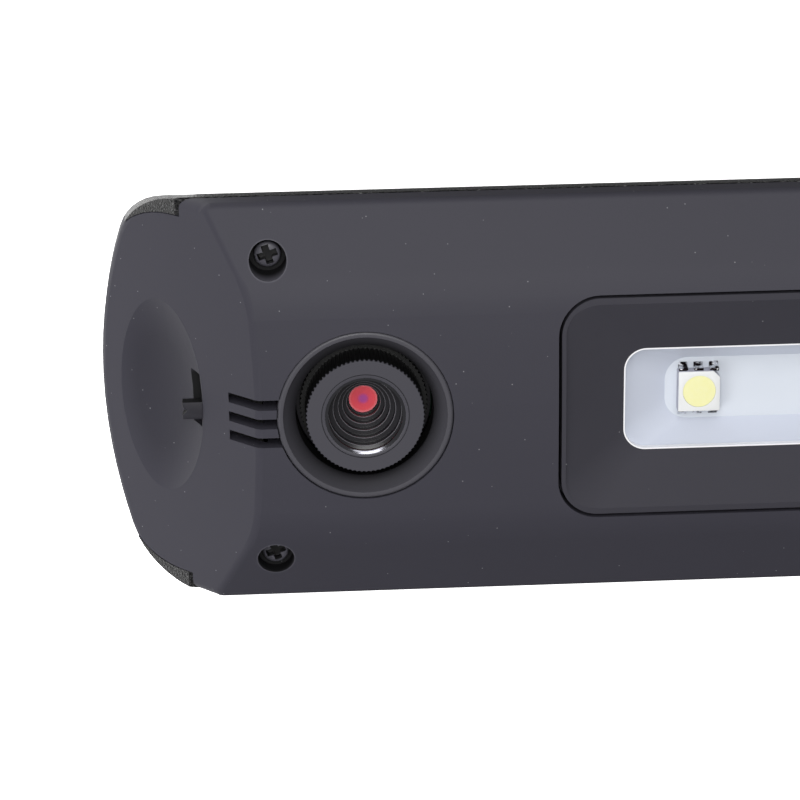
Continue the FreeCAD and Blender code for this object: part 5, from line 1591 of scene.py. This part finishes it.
# The floor is bright enough to show no edge.
FLOOR = Sheet("floor", (-3.0, -3.0), (3.0, 3.0), -0.0006, "white_paper", "F2F2F2", 1.0)
# The card under the lens end lights its rim from below.
CARD = Sheet(
    "bounce_card", (-0.30, -0.12), (-0.110, 0.12), -0.0004, "bounce_paper", "808080", 1.5)
# A large soft box over the top edge, a weaker one nearer overhead, and a low fill from the lens
# end.
LAMPS = (
    Lamp("key", (-0.12, 0.55, 0.75), (-0.05, 0.0, 0.0), 0.6, 4.6),
    Lamp("front", (-0.12, 0.26, 0.88), (-0.08, 0.0, 0.0), 0.3, 2.3),
    Lamp("side", (-0.40, -0.16, 0.32), (-0.10, 0.0, 0.01), 0.3, 0.95, mirrored=False))


@dataclass
class Studio:
    """A plain pale floor, soft light and the camera."""

    surround_glow: float = 0.21
    azimuth_deg: float = -2.956
    elevation_deg: float = 19.555
    roll_deg: float = -0.768
    distance: float = 350.0
    target: Spot = (4.055, 1.998, 22.0)  # from the lens axis
    focal: float = 134.874
    sensor: float = 36.0
    clip: float = 10.0

    def floor(self) -> None:
        """Lays the floor, which only the camera sees, and the card, which only gives light."""
        floor = FLOOR.build()
        floor.visible_glossy = False
        floor.visible_diffuse = False
        card = CARD.build()
        card.visible_camera = False
        card.visible_shadow = False

    def lights(self) -> None:
        """Lights the lamps and an even surround."""
        for lamp in LAMPS:
            lamp.build()
        world = bpy.data.worlds.new("surround")
        world.use_nodes = True
        glow = world.node_tree.nodes["Background"].inputs
        glow[0].default_value = linear("FFFFFF")
        glow[1].default_value = self.surround_glow
        bpy.context.scene.world = world
        bpy.context.scene.view_settings.view_transform = "Standard"

    def camera(self) -> None:
        """The camera over the lens end, turned by its three angles."""
        az, el, roll = map(math.radians, (self.azimuth_deg, self.elevation_deg, self.roll_deg))
        back = Vector((math.sin(az) * math.cos(el), math.sin(el), math.cos(az) * math.cos(el)))
        right = Vector((math.cos(az), 0.0, -math.sin(az)))
        up = back.cross(right)
        turned_right = right * math.cos(roll) + up * math.sin(roll)
        turned_up = up * math.cos(roll) - right * math.sin(roll)
        basis = Matrix((turned_right, turned_up, back)).transposed().to_4x4()
        data = bpy.data.cameras.new("camera")
        data.lens = self.focal
        data.sensor_width = self.sensor
        data.clip_start = self.clip * MM
        aim = Vector((LENS_X / MM + self.target[0], self.target[1], self.target[2]))
        seat = bpy.data.objects.new("camera", data)
        seat.matrix_world = Matrix.Translation((aim + back * self.distance) * MM) @ basis
        bpy.context.scene.collection.objects.link(seat)
        bpy.context.scene.camera = seat

    def build(self) -> None:
        """Sets up the studio."""
        self.floor()
        self.lights()
        self.camera()


def main(cad_box: tuple[Vector, Vector]) -> None:
    """Builds the studio and every sub-assembly in order.

    Args:
        cad_box: The whole model's box straight after loading; not used.
    """
    logging.basicConfig(level=logging.INFO, format="%(name)s: %(message)s")
    turner = TurnedPart()
    for assembly in (Studio(), Casing(frame["nodes"]), CoverScrews(CornerScrews(), turner),
                     Bowl(turner), FocusRing(turner), LensCell(turner), LampRow(Row(), turner),
                     ReflectorLip(), SlideKnob(), HangBail(BentWire())):
        assembly.build()


if __name__ == "__main__":
    main(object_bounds())
